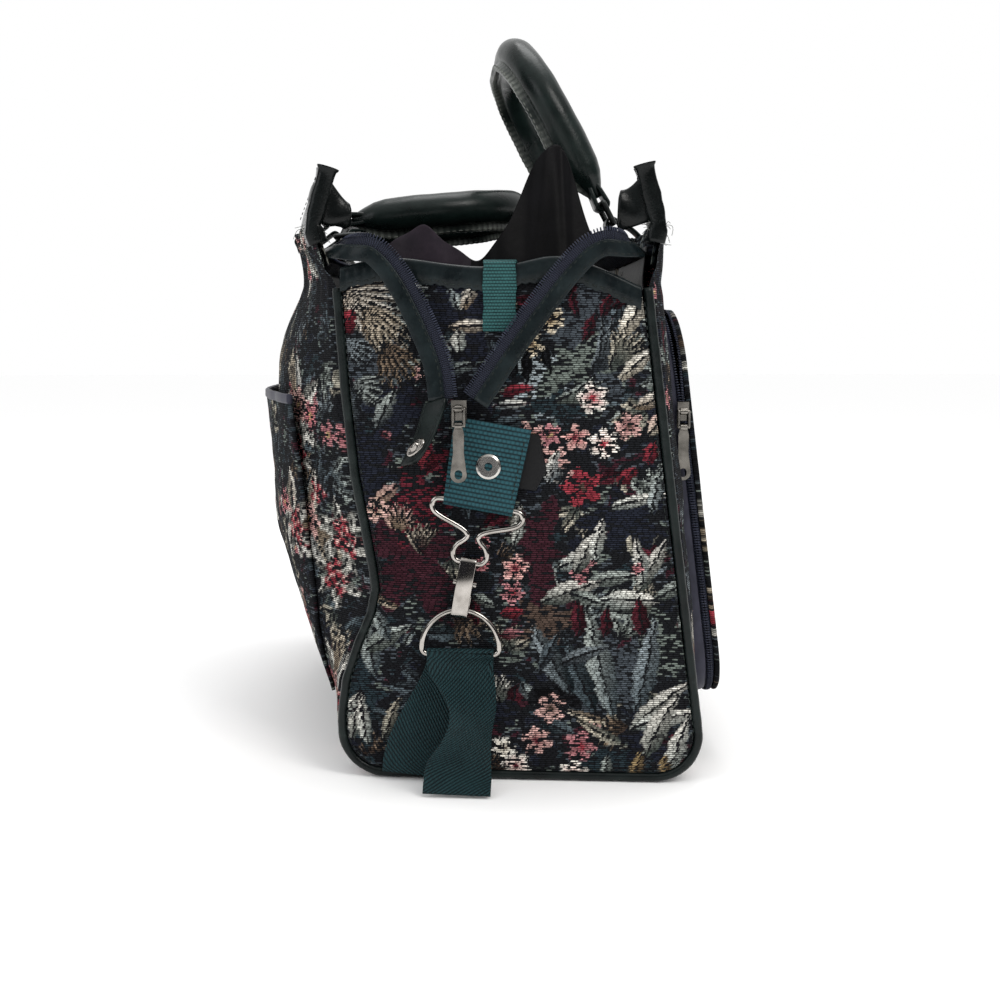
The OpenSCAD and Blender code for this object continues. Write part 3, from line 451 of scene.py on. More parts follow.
# pebbled grain, mottling and scuffs of a coated leather
def buildGrainGroup():
    group, start, end = newGroup("leatherGrain", {"Scale": 900.0, "Wear": 0.5}, ("Height", "Mottle", "Scuff"))
    op, link = partial(mathNode, group), group.links.new
    place = objectPlace(group)
    pebble = group.nodes.new("ShaderNodeTexVoronoi")
    pebble.feature = "SMOOTH_F1"
    link(place, pebble.inputs["Vector"])
    link(start["Scale"], pebble.inputs["Scale"])
    fine = noiseNode(group, place, 420.0, 4.0, 0.6)
    worn = rangeNode(group, noiseNode(group, place, 130.0, 6.0, 0.7), 0.60, 0.78)
    link(op("MULTIPLY_ADD", pebble.outputs["Distance"], -0.6, fine), end["Height"])
    link(noiseNode(group, place, 55.0, 4.0, 0.6), end["Mottle"])
    link(op("MULTIPLY", worn, start["Wear"], clamp=True), end["Scuff"])
    return group


# ribs across a strap, each broken into short floats, mapped in metres
def buildStrapGroup():
    group, start, end = newGroup("strapWeave", {"Map": None, "Pitch": 0.0022, "Slant": 0.0}, ("Height", "Shade"))
    op, link = partial(mathNode, group), group.links.new
    split = splitNode(group, start["Map"])
    v = op("DIVIDE", op("MULTIPLY_ADD", split[0], start["Slant"], split[1]), start["Pitch"])
    u = op("MULTIPLY_ADD", op("FLOOR", v), 0.5, op("DIVIDE", split[0], start["Pitch"]))
    a = op("ABSOLUTE", op("SINE", op("MULTIPLY", u, math.pi)))
    b = op("ABSOLUTE", op("SINE", op("MULTIPLY", v, math.pi)))
    height = op("MULTIPLY", op("POWER", b, 0.8), op("MULTIPLY_ADD", a, 0.45, 0.55))
    blot = noiseNode(group, start["Map"], 90.0, 3.0)
    link(height, end["Height"])
    # the Shade output darkens the grooves between ribs and floats as painted shade, mixed with a random noise blot of
    # tone
    link(op("MULTIPLY_ADD", blot, 0.35, op("MULTIPLY", height, 0.65)), end["Shade"])
    return group


# hairline scratches and clouding on plated metal
def buildPlateGroup():
    group, start, end = newGroup("platedScratches", {"Scale": 120.0}, ("Cloud", "Scratch"))
    place = objectPlace(group)
    stretch = group.nodes.new("ShaderNodeMapping")
    stretch.inputs["Scale"].default_value = (1.0, 1.0, 9.0)
    stretch.inputs["Rotation"].default_value = (0.5, 0.3, 0.2)
    group.links.new(place, stretch.inputs["Vector"])
    group.links.new(noiseNode(group, place, start["Scale"], 3.0), end["Cloud"])
    group.links.new(noiseNode(group, stretch.outputs[0], 900.0), end["Scratch"])
    return group


threadGroup = buildThreadGroup()
grainGroup = buildGrainGroup()
strapGroup = buildStrapGroup()
plateGroup = buildPlateGroup()


def startMaterial(name):
    material = bpy.data.materials.new(name)
    material.use_nodes = True
    tree = material.node_tree
    return material, tree, tree.nodes["Principled BSDF"]


# tone and rough may be a value or a socket
def setFinish(tree, shader, tone, rough, shine=0.5):
    for label, value in (("Base Color", tone), ("Roughness", rough), ("Specular IOR Level", shine)):
        feed(tree, shader.inputs[label], value)


def placeGroup(tree, group, **values):
    node = tree.nodes.new("ShaderNodeGroup")
    node.node_tree = group
    for key, value in values.items():
        node.inputs[key].default_value = value
    return node


def addBump(tree, shader, height, strength, distance):
    node = tree.nodes.new("ShaderNodeBump")
    node.inputs["Strength"].default_value = strength
    node.inputs["Distance"].default_value = distance
    tree.links.new(height, node.inputs["Height"])
    tree.links.new(node.outputs["Normal"], shader.inputs["Normal"])


def clothMap(tree):
    node = tree.nodes.new("ShaderNodeUVMap")
    node.uv_map = "clothMap"
    return node.outputs["UV"]


def tapestryMaterial():
    values = {"gap": (6, 6, 7), "ground": (27, 28, 31), "lowThread": 0.06, "vary": 0.7}
    material, tree, shader = startMaterial("tapestryCloth")
    threads = placeGroup(tree, threadGroup)
    tree.links.new(clothMap(tree), threads.inputs["Map"])
    threads = threads.outputs
    colour = tree.nodes.new("ShaderNodeAttribute")
    colour.attribute_name = "threadColour"
    lit = mathNode(tree, "MULTIPLY_ADD", threads["Vary"], values["vary"], 1.05 - values["vary"] / 2)
    varied = tree.nodes.new("ShaderNodeVectorMath")
    varied.operation = "SCALE"
    tree.links.new(colour.outputs["Color"], varied.inputs[0])
    tree.links.new(lit, varied.inputs["Scale"])
    # a float of the motif's thread shows where its share is high enough, else the ground
    shown = rangeNode(tree, mathNode(tree, "SUBTRACT", colour.outputs["Alpha"], threads["Chance"]), -0.04, 0.04)
    figure = mixNode(tree, shown, rgba(values["ground"]), varied.outputs[0])
    # the gap colour is the dark weft between ribs; the fade into it across each rib and at each float end is painted
    # shade
    fac = rangeNode(tree, threads["Thread"], 0.2, 0.8, (values["lowThread"], 1.0))
    setFinish(tree, shader, mixNode(tree, fac, rgba(values["gap"]), figure), 0.85, 0.05)
    addBump(tree, shader, threads["Height"], 0.5, 0.0006)
    return material


def leatherMaterial(name, base, deep, scuffed, rough, wear, grain=900.0, shine=0.2, rubbed=None):
    material, tree, shader = startMaterial(name)
    field = placeGroup(tree, grainGroup, Scale=grain, Wear=wear).outputs
    tone = mixNode(tree, rangeNode(tree, field["Mottle"], 0.35, 0.68), rgba(deep), rgba(base))
    tone = mixNode(tree, field["Scuff"], tone, rgba(scuffed))
    if rubbed is not None:
        # bare fibres where the mesh marks a seam as rubbed
        mark = tree.nodes.new("ShaderNodeAttribute")
        mark.attribute_name = "threadColour"
        tone = mixNode(tree, mark.outputs["Fac"], tone, rgba(rubbed))
    setFinish(tree, shader, tone, rangeNode(tree, field["Mottle"], 0.3, 0.7, (rough - 0.07, rough + 0.09)), shine)
    addBump(tree, shader, field["Height"], 0.2, 0.0005)
    return material


def strapMaterial(name, base, deep, pitch, rough=0.62, slant=0.0):
    material, tree, shader = startMaterial(name)
    field = placeGroup(tree, strapGroup, Pitch=pitch, Slant=slant)
    tree.links.new(clothMap(tree), field.inputs["Map"])
    # the deep colour shows in the rib grooves: painted shade, with random blotches of tone
    tone = mixNode(tree, rangeNode(tree, field.outputs["Shade"], 0.25, 0.75), rgba(deep), rgba(base))
    setFinish(tree, shader, tone, rough, 0.2)
    addBump(tree, shader, field.outputs["Height"], 0.9, 0.0009)
    return material


def liningMaterial(name, base, deep, rough):
    material, tree, shader = startMaterial(name)
    place = objectPlace(tree)
    crease = noiseNode(tree, place, 38.0, 5.0, 0.62)
    fine = noiseNode(tree, place, 1500.0)
    # the colour darkens in the hollows of the crease bump: painted shade
    setFinish(tree, shader, mixNode(tree, rangeNode(tree, crease, 0.3, 0.75), rgba(deep), rgba(base)), rough, 0.1)
    addBump(tree, shader, mathNode(tree, "MULTIPLY_ADD", fine, 0.12, crease), 0.35, 0.002)
    return material


def nylonMaterial(name, base, deep, rough):
    material, tree, shader = startMaterial(name)
    place = objectPlace(tree)
    cloud = noiseNode(tree, place, 70.0, 4.0)
    tone = mixNode(tree, rangeNode(tree, cloud, 0.3, 0.7), rgba(deep), rgba(base))
    setFinish(tree, shader, tone, rangeNode(tree, cloud, 0.3, 0.7, (rough - 0.06, rough + 0.08)), 0.25)
    addBump(tree, shader, noiseNode(tree, place, 1900.0, 1.0), 0.25, 0.0003)
    return material


def nickelMaterial(name, base, dull, rough):
    material, tree, shader = startMaterial(name)
    field = placeGroup(tree, plateGroup).outputs
    tone = mixNode(tree, rangeNode(tree, field["Cloud"], 0.35, 0.7), rgba(base), rgba(dull))
    setFinish(tree, shader, tone, rangeNode(tree, field["Cloud"], 0.3, 0.75, (rough - 0.03, rough + 0.08)))
    shader.inputs["Metallic"].default_value = 1.0
    addBump(tree, shader, field["Scratch"], 0.03, 0.0001)
    return material


def boardMaterial():
    material, tree, shader = startMaterial("fibreBoard")
    fleck = noiseNode(tree, objectPlace(tree), 300.0, 5.0, 0.7)
    setFinish(tree, shader, mixNode(tree, fleck, rgba((70, 58, 46)), rgba((112, 94, 74))), 0.8)
    addBump(tree, shader, fleck, 0.2, 0.0005)
    return material


tapestry = tapestryMaterial()
darkLeather = leatherMaterial("darkGreenLeather", (22, 30, 29), (12, 17, 17), (70, 80, 76), 0.34, 0.22)
earLeather = leatherMaterial("earLeather", (15, 19, 19), (8, 10, 10), (64, 72, 70), 0.24, 0.3)
handleLeather = leatherMaterial("handleLeather", (19, 30, 28), (11, 18, 17), (56, 70, 66), 0.3, 0.12, 700.0, 0.26,
                                (176, 180, 172))
facingLeather = leatherMaterial("facingLeather", (23, 32, 34), (12, 18, 20), (70, 82, 82), 0.3, 0.22)
# the second colour of each webbing and tape is its painted shade in the rib grooves
webbing = strapMaterial("tealWebbing", (34, 76, 84), (10, 28, 33), 0.0027)
loopWebbing = strapMaterial("greenWebbing", (46, 92, 92), (14, 38, 40), 0.0019)
strapCloth = strapMaterial("strapWebbing", (24, 52, 56), (6, 15, 18), 0.0022, 0.62, 0.7)
zipCloth = strapMaterial("navyZipTape", (40, 44, 58), (16, 18, 26), 0.0012)
coilNylon = nylonMaterial("zipCoilNylon", (52, 56, 72), (26, 29, 40), 0.36)
gussetNylon = nylonMaterial("smoothGusset", (52, 52, 66), (30, 31, 42), 0.46)
patchCloth = nylonMaterial("blackPatch", (16, 16, 18), (9, 9, 11), 0.5)
# the second colour of each lining is the painted shade in its crease hollows
liningDark = liningMaterial("blackLining", (12, 11, 14), (5, 5, 6), 0.5)
# a lighter mauve copy of the black lining, painted as the sheen on the flap's lobe
liningSheenCopy = liningMaterial("lobeLiningPaintedSheen", (50, 42, 50), (27, 23, 29), 0.55)
nickel = nickelMaterial("wornNickel", (184, 179, 173), (150, 145, 139), 0.09)
pullMetal = nickelMaterial("dulledPull", (134, 130, 124), (98, 95, 90), 0.16)
socketPlate = nickelMaterial("socketPlate", (206, 203, 198), (170, 167, 162), 0.2)
darkSnap = nickelMaterial("darkSnapPlate", (70, 72, 72), (40, 42, 42), 0.3)
stitchThread = nylonMaterial("darkThread", (30, 38, 36), (16, 21, 20), 0.6)
paleThread = nylonMaterial("paleThread", (120, 122, 116), (66, 70, 66), 0.7)
board = boardMaterial()
print("materials built")

# woven picture: fields, leaves, plumes, berries and blossoms laid over a dark ground
thread = {name: linear(value) for name, value in {
    "ground": (27, 28, 31), "slate": (66, 72, 78), "navy": (32, 35, 45), "teal": (38, 49, 54),
    "dark": (13, 13, 15), "wine": (94, 36, 46), "plum": (58, 30, 38), "red": (152, 56, 66),
    "pink": (200, 138, 142), "salmon": (220, 178, 170), "cream": (238, 234, 224), "sage": (180, 188, 182),
    "moss": (104, 112, 106), "beige": (214, 204, 184), "tan": (160, 140, 118), "brown": (82, 68, 60),
    "gold": (186, 160, 116), "mist": (148, 158, 162), "steel": (98, 110, 116)}.items()}


def grainOf(u, v, seed, scale):
    pick = np.random.default_rng(seed)
    total = np.zeros_like(u)
    for k in range(7):
        angle = pick.uniform(0, math.pi)
        rate = 2 * math.pi / (scale * pick.uniform(0.45, 1.6))
        total += np.sin((u * math.cos(angle) + v * math.sin(angle)) * rate + pick.uniform(0, 6.3)
                        + 1.3 * np.sin((u * math.sin(angle) - v * math.cos(angle)) * rate * 0.6 + k))
    return total / 3.2


class Weave:
    # c is the colour of the motif's thread, share is how many of its floats come to the top
    def __init__(self, u, v, seed):
        self.u = np.asarray(u, float).ravel()
        self.v = np.asarray(v, float).ravel()
        row = np.floor(self.v / 1.55)
        slip = np.modf(np.abs(np.sin(row * 12.9898) * 43758.5453))[0]
        self.u = self.u + (slip - 0.5) * 2.2
        self.pick = np.random.default_rng(seed)
        n = grainOf(self.u, self.v, seed, 46)
        m = grainOf(self.u, self.v, seed + 1, 24)
        self.c = np.repeat(thread["slate"][None], len(self.u), 0)
        self.share = 0.06 + 0.5 * np.clip(n, 0, 1)
        for where, colour, share in [((n > 0.2) & (m > 0.35), "moss", 0.4), ((n < -0.3) & (m > 0.2), "navy", 0.8),
                                     ((n < -0.1) & (m < -0.5), "teal", 0.7), ((n > 0.5) & (m < -0.3), "plum", 0.7)]:
            self.c[where] = thread[colour]
            self.share[where] = share
        self.share[n < -0.75] = 0.04

    def lay(self, k, colour, share):
        self.c[k] = colour
        self.share[k] = np.clip(share, 0, 1)

    def done(self):
        return np.concatenate([self.c, self.share[:, None]], 1)

    def near(self, x, y, reach):
        return np.nonzero((np.abs(self.u - x) < reach) & (np.abs(self.v - y) < reach))[0]

    def leaf(self, x, y, angle, length, width, base, tip, vein="dark", curve=0.0):
        k = self.near(x, y, length + width)
        c, s = math.cos(math.radians(angle)), math.sin(math.radians(angle))
        du, dv = self.u[k] - x, self.v[k] - y
        t = (du * c + dv * s) / length
        q = -du * s + dv * c - curve * length * t * (1 - t)
        half = width / 2 * np.sin(math.pi * np.clip(t, 0, 1) ** 0.75) ** 1.15 + 1e-6
        inside = (t > 0) & (t < 1) & (np.abs(q) < half)
        f = np.clip(t + 0.3 * q / half, 0, 1)[:, None]
        colour = thread[base] * (1 - f) + thread[tip] * f
        # one half of the blade is bright, the other darker and more hatched
        share = np.where(q > 0, 1.0, 0.96)
        colour = np.where((q > 0)[:, None], colour, colour * 0.5)
        streak = np.modf(np.abs(t * length + np.abs(q) * 0.9) / 5.6)[0] < 0.24
        if width > 7:
            colour[streak] *= 0.5
        rib = np.abs(q) < 0.55
        colour[rib] = thread[vein]
        share[rib] = 0.15
        colour[np.abs(q) > half - 0.8] *= 0.7
        self.lay(k[inside], colour[inside], share[inside])

    def plume(self, x, y, start, stop, length, width, base, tip, blades=8, curve=0.25):
        # long thin blades that fan out from one place
        for i in range(blades):
            f = i / (blades - 1)
            size = length * (0.7 + 0.3 * math.sin(math.pi * (0.2 + 0.6 * f)))
            self.leaf(x, y, start + (stop - start) * f, size, width, base, tip, "dark", curve * (1 - 2 * f))

    def berry(self, x, y, r, colour, shine="salmon"):
        k = self.near(x, y, r + 1)
        du, dv = self.u[k] - x, self.v[k] - y
        gap = np.hypot(du, dv)
        tone = np.repeat(thread[colour][None], len(k), 0)
        share = np.where(gap > r * 0.74, 0.35, 0.9)
        tone[gap > r * 0.74] = 0.35 * thread[colour] + 0.65 * thread["plum"]
        tone[np.hypot(du + r * 0.3, dv - r * 0.3) < r * 0.4] = thread[shine]
        self.lay(k[gap < r], tone[gap < r], share[gap < r])

    def bunch(self, x, y, r, count, colour="red"):
        for i in range(count):
            angle = i * 2.4
            far = r * math.sqrt((i + 0.3) / count) * 1.25
            self.berry(x + far * math.cos(angle), y + far * math.sin(angle), r * 0.42, colour)

    def blossom(self, x, y, r, petals, inner, outer, turn=0.0, heart="gold"):
        k = self.near(x, y, r + 1)
        du, dv = self.u[k] - x, self.v[k] - y
        angle = np.arctan2(dv, du) + turn
        wave = np.abs(np.cos(angle * petals / 2))
        reach = r * (0.6 + 0.4 * wave)
        f = np.hypot(du, dv) / reach
        tone = thread[inner] * (1 - f[:, None]) + thread[outer] * f[:, None]
        share = 0.9 - 0.35 * (1 - wave)
        share[(wave < 0.26) & (f > 0.3)] = 0.12
        share[(np.modf(np.abs(angle * petals * 1.6))[0] < 0.24) & (f > 0.35)] *= 0.55
        share[f > 0.9] *= 0.7
        tone[f < 0.22] = thread[heart]
        self.lay(k[f < 1], tone[f < 1], share[f < 1])

    def patch(self, x, y, rx, ry, colour, turn=0.0, share=0.7):
        k = self.near(x, y, max(rx, ry) * 1.4)
        c, s = math.cos(math.radians(turn)), math.sin(math.radians(turn))
        du, dv = self.u[k] - x, self.v[k] - y
        f = np.hypot((du * c + dv * s) / rx, (-du * s + dv * c) / ry)
        f += 0.28 * np.sin(np.arctan2(dv, du) * 5 + x) + 0.15 * np.sin(np.arctan2(dv, du) * 9 + y)
        inside = f < 1
        self.lay(k[inside], thread[colour], (share * (1.1 - 0.5 * f))[inside])

    def sprig(self, x, y, size):
        p = self.pick
        kind = p.integers(0, 8)
        angle = p.uniform(0, 360)
        tones = [("moss", "sage"), ("slate", "mist"), ("steel", "sage"), ("moss", "beige"), ("slate", "steel")]
        tones = tones[p.integers(0, 5)]
        if kind < 4:
            for turn in (-40, 0, 40):
                self.leaf(x, y, angle + turn, size * 1.25, size * 0.42, *tones)
        elif kind == 4:
            self.leaf(x, y, angle, size * 1.3, size * 0.5, "plum", "wine", "dark")
            self.leaf(x, y, angle + 60, size * 1.1, size * 0.44, *tones)
        elif kind == 5:
            self.plume(x, y, angle, angle + 80, size * 1.5, size * 0.22, "brown", "tan", 5)
        elif kind == 6:
            self.leaf(x, y, angle, size * 1.5, size * 0.6, "teal", "steel")
        else:
            self.blossom(x, y, size * 0.45, 5, "wine", ["pink", "salmon"][p.integers(0, 2)], p.uniform(0, 6))

    def scatter(self, step, size):
        low, high = (self.u.min(), self.v.min()), (self.u.max(), self.v.max())
        for v in np.arange(low[1], high[1] + step, step):
            for u in np.arange(low[0], high[0] + step, step):
                p = self.pick.uniform(-0.42, 0.42, 2) * step
                self.sprig(u + p[0] + (v / step % 2) * step / 2, v + p[1], size * self.pick.uniform(0.7, 1.25))

    def posies(self, step):
        # large groups for the sides that the photograph hardly shows
        low, high = (self.u.min(), self.v.min()), (self.u.max(), self.v.max())
        i = 0
        for v in np.arange(low[1] + step * 0.4, high[1], step):
            for u in np.arange(low[0] + step * (0.3 + 0.5 * (i % 2)), high[0], step * 1.15):
                i += 1
                x, y = np.array([u, v]) + self.pick.uniform(-0.2, 0.2, 2) * step
                a = self.pick.uniform(0, 360)
                for k, base in enumerate(["moss", "steel", "moss", "sage", "tan"]):
                    self.leaf(x, y, a + 72 * k, step * 0.46, step * 0.17, base, "cream", "dark", 0.2)
                self.plume(x, y, a + 20, a + 66, step * 0.62, step * 0.06, "tan", "beige", 7)
                self.blossom(x, y, step * 0.16, 6, "wine", "salmon", a)
                c, s = step * math.cos(a), step * math.sin(a)
                self.bunch(x + 0.28 * c, y + 0.28 * s, step * 0.08, 6)
                self.blossom(x - 0.24 * c, y - 0.2 * s, step * 0.12, 5, "red", "pink", a + 1)


def onEnd(x, y):
    # a place on the near end from its place in the photograph
    return (x - 518) * (0.659 if x < 518 else 0.633), (776 - y) * 0.64


def paintNearEnd(u, v):
    w = Weave(u, v, 5)
    w.scatter(27, 17)
    for x, y, rx, ry, colour, turn, share in [
            (418, 555, 26, 36, "plum", 10, 0.95), (425, 505, 17, 22, "wine", 0, 0.6),
            (436, 464, 10, 9, "wine", 20, 0.9), (404, 412, 14, 18, "navy", 0, 0.95),
            (385, 372, 18, 13, "slate", 0, 0.8), (375, 470, 15, 34, "navy", 5, 0.8),
            (470, 320, 26, 28, "navy", 0, 0.8), (583, 350, 24, 30, "slate", 30, 0.95),
            (537, 390, 13, 19, "mist", 20, 0.9), (575, 372, 26, 12, "moss", 24, 0.85),
            (560, 410, 20, 8, "teal", 10, 0.9), (536, 550, 13, 32, "plum", 0, 0.9),
            (620, 520, 22, 16, "navy", 0, 0.9), (545, 616, 17, 12, "brown", 0, 0.9),
            (600, 670, 30, 26, "slate", 20, 0.75), (607, 755, 22, 10, "teal", 0, 0.9),
            (660, 640, 14, 20, "moss", 0, 0.4), (364, 690, 14, 26, "teal", 10, 0.95),
            (480, 700, 22, 24, "navy", 0, 0.8), (560, 690, 18, 9, "dark", 10, 0.9),
            (640, 735, 16, 14, "navy", 0, 0.7)]:
        w.patch(*onEnd(x, y), rx, ry, colour, turn, share)
    for x, y, start, stop, length, width, base, tip, blades in [
            (352, 306, 8, -52, 52, 4.6, "tan", "cream", 8), (372, 318, -28, -66, 46, 4.4, "tan", "beige", 6),
            (392, 352, -34, -88, 36, 4.0, "brown", "tan", 6), (352, 352, -8, -46, 26, 4.4, "slate", "mist", 5),
            (362, 392, 10, -40, 26, 4.4, "slate", "sage", 5), (585, 382, 20, 78, 44, 5.0, "slate", "mist", 7),
            (548, 408, -5, 32, 40, 4.6, "moss", "sage", 5), (604, 378, 30, 88, 34, 5.2, "moss", "beige", 6),
            (427, 556, 58, 122, 28, 4.0, "plum", "beige", 5), (404, 532, 30, 130, 22, 4.6, "tan", "salmon", 6),
            (560, 486, 100, 150, 22, 3.8, "slate", "cream", 4), (655, 500, 60, 130, 26, 4.0, "slate", "sage", 5),
            (500, 700, 60, 120, 24, 4.4, "moss", "cream", 4), (640, 620, 70, 110, 34, 4.4, "moss", "beige", 5)]:
        w.plume(*onEnd(x, y), start, stop, length, width, base, tip, blades)
    for x, y, angle, length, width, base, tip, curve in [
            (436, 300, 150, 22, 9, "mist", "cream", 0.2), (428, 282, 20, 22, 8, "sage", "cream", 0.3),
            (452, 300, -70, 16, 6, "mist", "sage", 0.4), (466, 322, 62, 18, 9, "tan", "cream", 0.1),
            (452, 338, 4, 28, 9, "tan", "cream", 0.0), (462, 362, 90, 14, 10, "sage", "cream", 0.0),
            (512, 360, -88, 18, 7, "dark", "dark", 0.0), (526, 358, -92, 20, 8, "dark", "dark", 0.0),
            (538, 352, -70, 18, 7, "dark", "dark", 0.0), (580, 352, 72, 18, 8, "plum", "wine", 0.0),
            (594, 330, 62, 18, 7, "plum", "wine", 0.1), (606, 322, 40, 20, 7, "plum", "wine", 0.1),
            (572, 330, 100, 18, 6, "plum", "wine", 0.0), (620, 330, 30, 18, 7, "plum", "wine", 0.0),
            (616, 345, 60, 24, 14, "beige", "cream", 0.1), (612, 388, 40, 30, 10, "beige", "cream", 0.1),
            (626, 414, 20, 26, 10, "tan", "cream", 0.1), (640, 440, 50, 22, 11, "beige", "salmon", 0.1),
            (548, 486, 78, 20, 9, "mist", "cream", 0.2), (604, 508, 12, 34, 8, "sage", "cream", 0.1),
            (646, 515, 80, 30, 9, "mist", "sage", 0.1), (384, 436, 60, 26, 11, "slate", "sage", 0.2),
            (366, 436, 100, 28, 11, "slate", "mist", 0.2), (515, 545, 82, 24, 9, "sage", "cream", 0.0),
            (556, 566, 24, 24, 11, "sage", "cream", 0.1), (572, 572, 62, 28, 12, "moss", "cream", 0.1),
            (590, 560, 78, 26, 10, "sage", "cream", 0.0), (582, 580, 8, 30, 11, "moss", "sage", 0.1),
            (540, 600, 20, 34, 15, "moss", "cream", 0.15), (596, 596, -2, 34, 13, "sage", "cream", 0.1),
            (566, 590, -18, 22, 9, "moss", "sage", 0.1), (632, 590, 60, 34, 12, "moss", "cream", 0.1),
            (640, 580, 100, 26, 10, "sage", "cream", 0.1), (648, 596, 30, 24, 10, "moss", "sage", 0.0),
            (575, 634, 88, 22, 11, "plum", "wine", 0.0), (600, 634, 82, 18, 9, "plum", "wine", 0.0),
            (636, 632, 92, 22, 12, "plum", "wine", 0.0), (612, 712, 104, 62, 19, "steel", "sage", 0.08),
            (594, 708, 112, 46, 15, "teal", "steel", 0.1), (632, 706, 80, 54, 16, "steel", "mist", -0.08),
            (572, 690, 120, 46, 15, "teal", "mist", 0.1), (556, 660, 20, 30, 10, "slate", "mist", 0.1),
            (536, 668, 60, 26, 8, "slate", "steel", 0.1), (626, 726, 40, 46, 13, "moss", "cream", 0.12),
            (630, 722, 12, 40, 13, "sage", "cream", 0.2), (640, 752, 62, 40, 15, "moss", "cream", 0.1),
            (664, 768, 70, 34, 13, "sage", "cream", 0.1), (628, 742, 150, 36, 8, "moss", "beige", 0.15),
            (606, 716, 165, 26, 6, "tan", "beige", 0.1), (632, 778, 80, 20, 10, "brown", "gold", 0.1),
            (664, 778, 96, 18, 9, "brown", "gold", 0.1), (604, 776, 90, 16, 8, "moss", "sage", 0.0),
            (384, 676, 100, 34, 13, "steel", "sage", 0.2), (372, 650, 30, 30, 13, "moss", "sage", 0.1),
            (398, 640, 120, 26, 10, "steel", "sage", 0.1), (360, 740, 80, 30, 10, "moss", "cream", 0.1),
            (374, 744, 95, 30, 10, "sage", "cream", 0.1), (390, 740, 70, 28, 9, "moss", "beige", 0.1),
            (420, 745, 80, 34, 11, "moss", "cream", 0.1), (432, 748, 50, 30, 9, "sage", "cream", 0.1),
            (462, 745, 110, 26, 9, "moss", "sage", 0.1), (410, 608, 150, 30, 5, "tan", "beige", 0.3),
            (350, 720, 60, 20, 8, "sage", "cream", 0.0)]:
        w.leaf(*onEnd(x, y), angle, length * 1.2, width * 0.92, base, tip, "dark", curve)
    for x, y, angle, length, width, base, tip in [
            (348, 297, 30, 17, 9, "wine", "red"), (352, 344, 60, 18, 15, "wine", "red"),
            (430, 474, 70, 15, 12, "plum", "red"), (640, 468, 70, 18, 9, "wine", "red"),
            (612, 486, 40, 18, 9, "wine", "red"), (500, 612, 8, 18, 8, "wine", "red"),
            (500, 632, 5, 16, 7, "wine", "pink"), (388, 436, -30, 12, 4, "wine", "pink"),
            (500, 400, 10, 24, 7, "wine", "red"), (494, 412, 4, 24, 6, "mist", "cream"),
            (384, 506, 40, 20, 10, "tan", "salmon")]:
        w.leaf(*onEnd(x, y), angle, length, width, base, tip, "plum", 0.1)
    for x, y, r, petals, inner, outer, heart in [
            (548, 331, 8.5, 5, "gold", "beige", "brown"), (530, 354, 7.5, 5, "gold", "beige", "brown"),
            (588, 404, 10, 5, "red", "cream", "red"), (572, 441, 8.5, 5, "red", "salmon", "wine"),
            (599, 447, 10, 6, "salmon", "cream", "red"), (622, 430, 9, 5, "wine", "salmon", "brown"),
            (579, 488, 13, 5, "wine", "red", "brown"), (486, 541, 5, 5, "red", "pink", "wine"),
            (484, 563, 5.5, 5, "red", "pink", "wine"), (515, 566, 9, 5, "red", "salmon", "wine"),
            (512, 590, 8, 5, "wine", "pink", "red"), (550, 704, 10, 6, "brown", "salmon", "brown"),
            (536, 736, 9.5, 6, "wine", "salmon", "wine"), (578, 741, 10, 5, "wine", "pink", "red"),
            (515, 762, 10, 6, "salmon", "cream", "wine"), (571, 770, 10, 6, "salmon", "cream", "wine"),
            (503, 744, 8, 5, "beige", "cream", "brown"), (579, 576, 4, 5, "wine", "pink", "wine"),
            (632, 566, 4, 5, "wine", "pink", "wine"), (385, 512, 8, 5, "tan", "salmon", "wine")]:
        w.blossom(*onEnd(x, y), r, petals, inner, outer, x * 0.7, heart)
    return w.done()


def paintSide(u, v, seed, extra=()):
    w = Weave(u, v, seed)
    w.scatter(25, 18)
    w.posies(86)
    for x, y, r in extra:
        for turn in (20, 75, 130, 200, 260, 320):
            w.leaf(x, y, turn, r * 3.6, r * 1.3, "moss", "cream", "dark", 0.2)
        w.bunch(x, y, r * 1.2, 8)
    return w.done()


# the tapestry panels
panels = {"endColumns": 236, "endRows": 316, "farColumns": 120, "farRows": 160, "sideColumns": 210, "sideRows": 170}


def ridge(a, z, start, end, height, width):
    (x0, y0), (x1, y1) = start, end
    size = (x1 - x0) ** 2 + (y1 - y0) ** 2
    t = np.clip(((a - x0) * (x1 - x0) + (z - y0) * (y1 - y0)) / size, 0, 1)
    gap = np.hypot(a - x0 - t * (x1 - x0), z - y0 - t * (y1 - y0))
    return height * np.exp(-(gap / width) ** 2) * np.sin(math.pi * np.clip(t, 0.06, 0.94)) ** 0.6


def endCreases(a, z):
    lift = 0.9 * grainOf(a, z, 31, 120) + 0.35 * grainOf(a, z, 32, 46)
    for start, end, height, width in [
            (onEnd(380, 590), onEnd(450, 560), -3.2, 8), (onEnd(382, 600), onEnd(440, 650), 2.6, 10),
            (onEnd(372, 560), onEnd(430, 510), 2.4, 10), (onEnd(360, 690), onEnd(470, 735), 1.8, 14),
            (onEnd(352, 300), onEnd(372, 420), 1.6, 8), (onEnd(640, 320), onEnd(655, 470), 1.4, 9),
            (onEnd(600, 300), onEnd(560, 420), -1.4, 12), (onEnd(690, 720), onEnd(600, 760), 1.6, 12),
            (onEnd(420, 290), onEnd(430, 400), -1.5, 10), (onEnd(660, 560), onEnd(680, 690), 1.5, 9)]:
        lift = lift + ridge(a, z, start, end, height, width)
    return lift


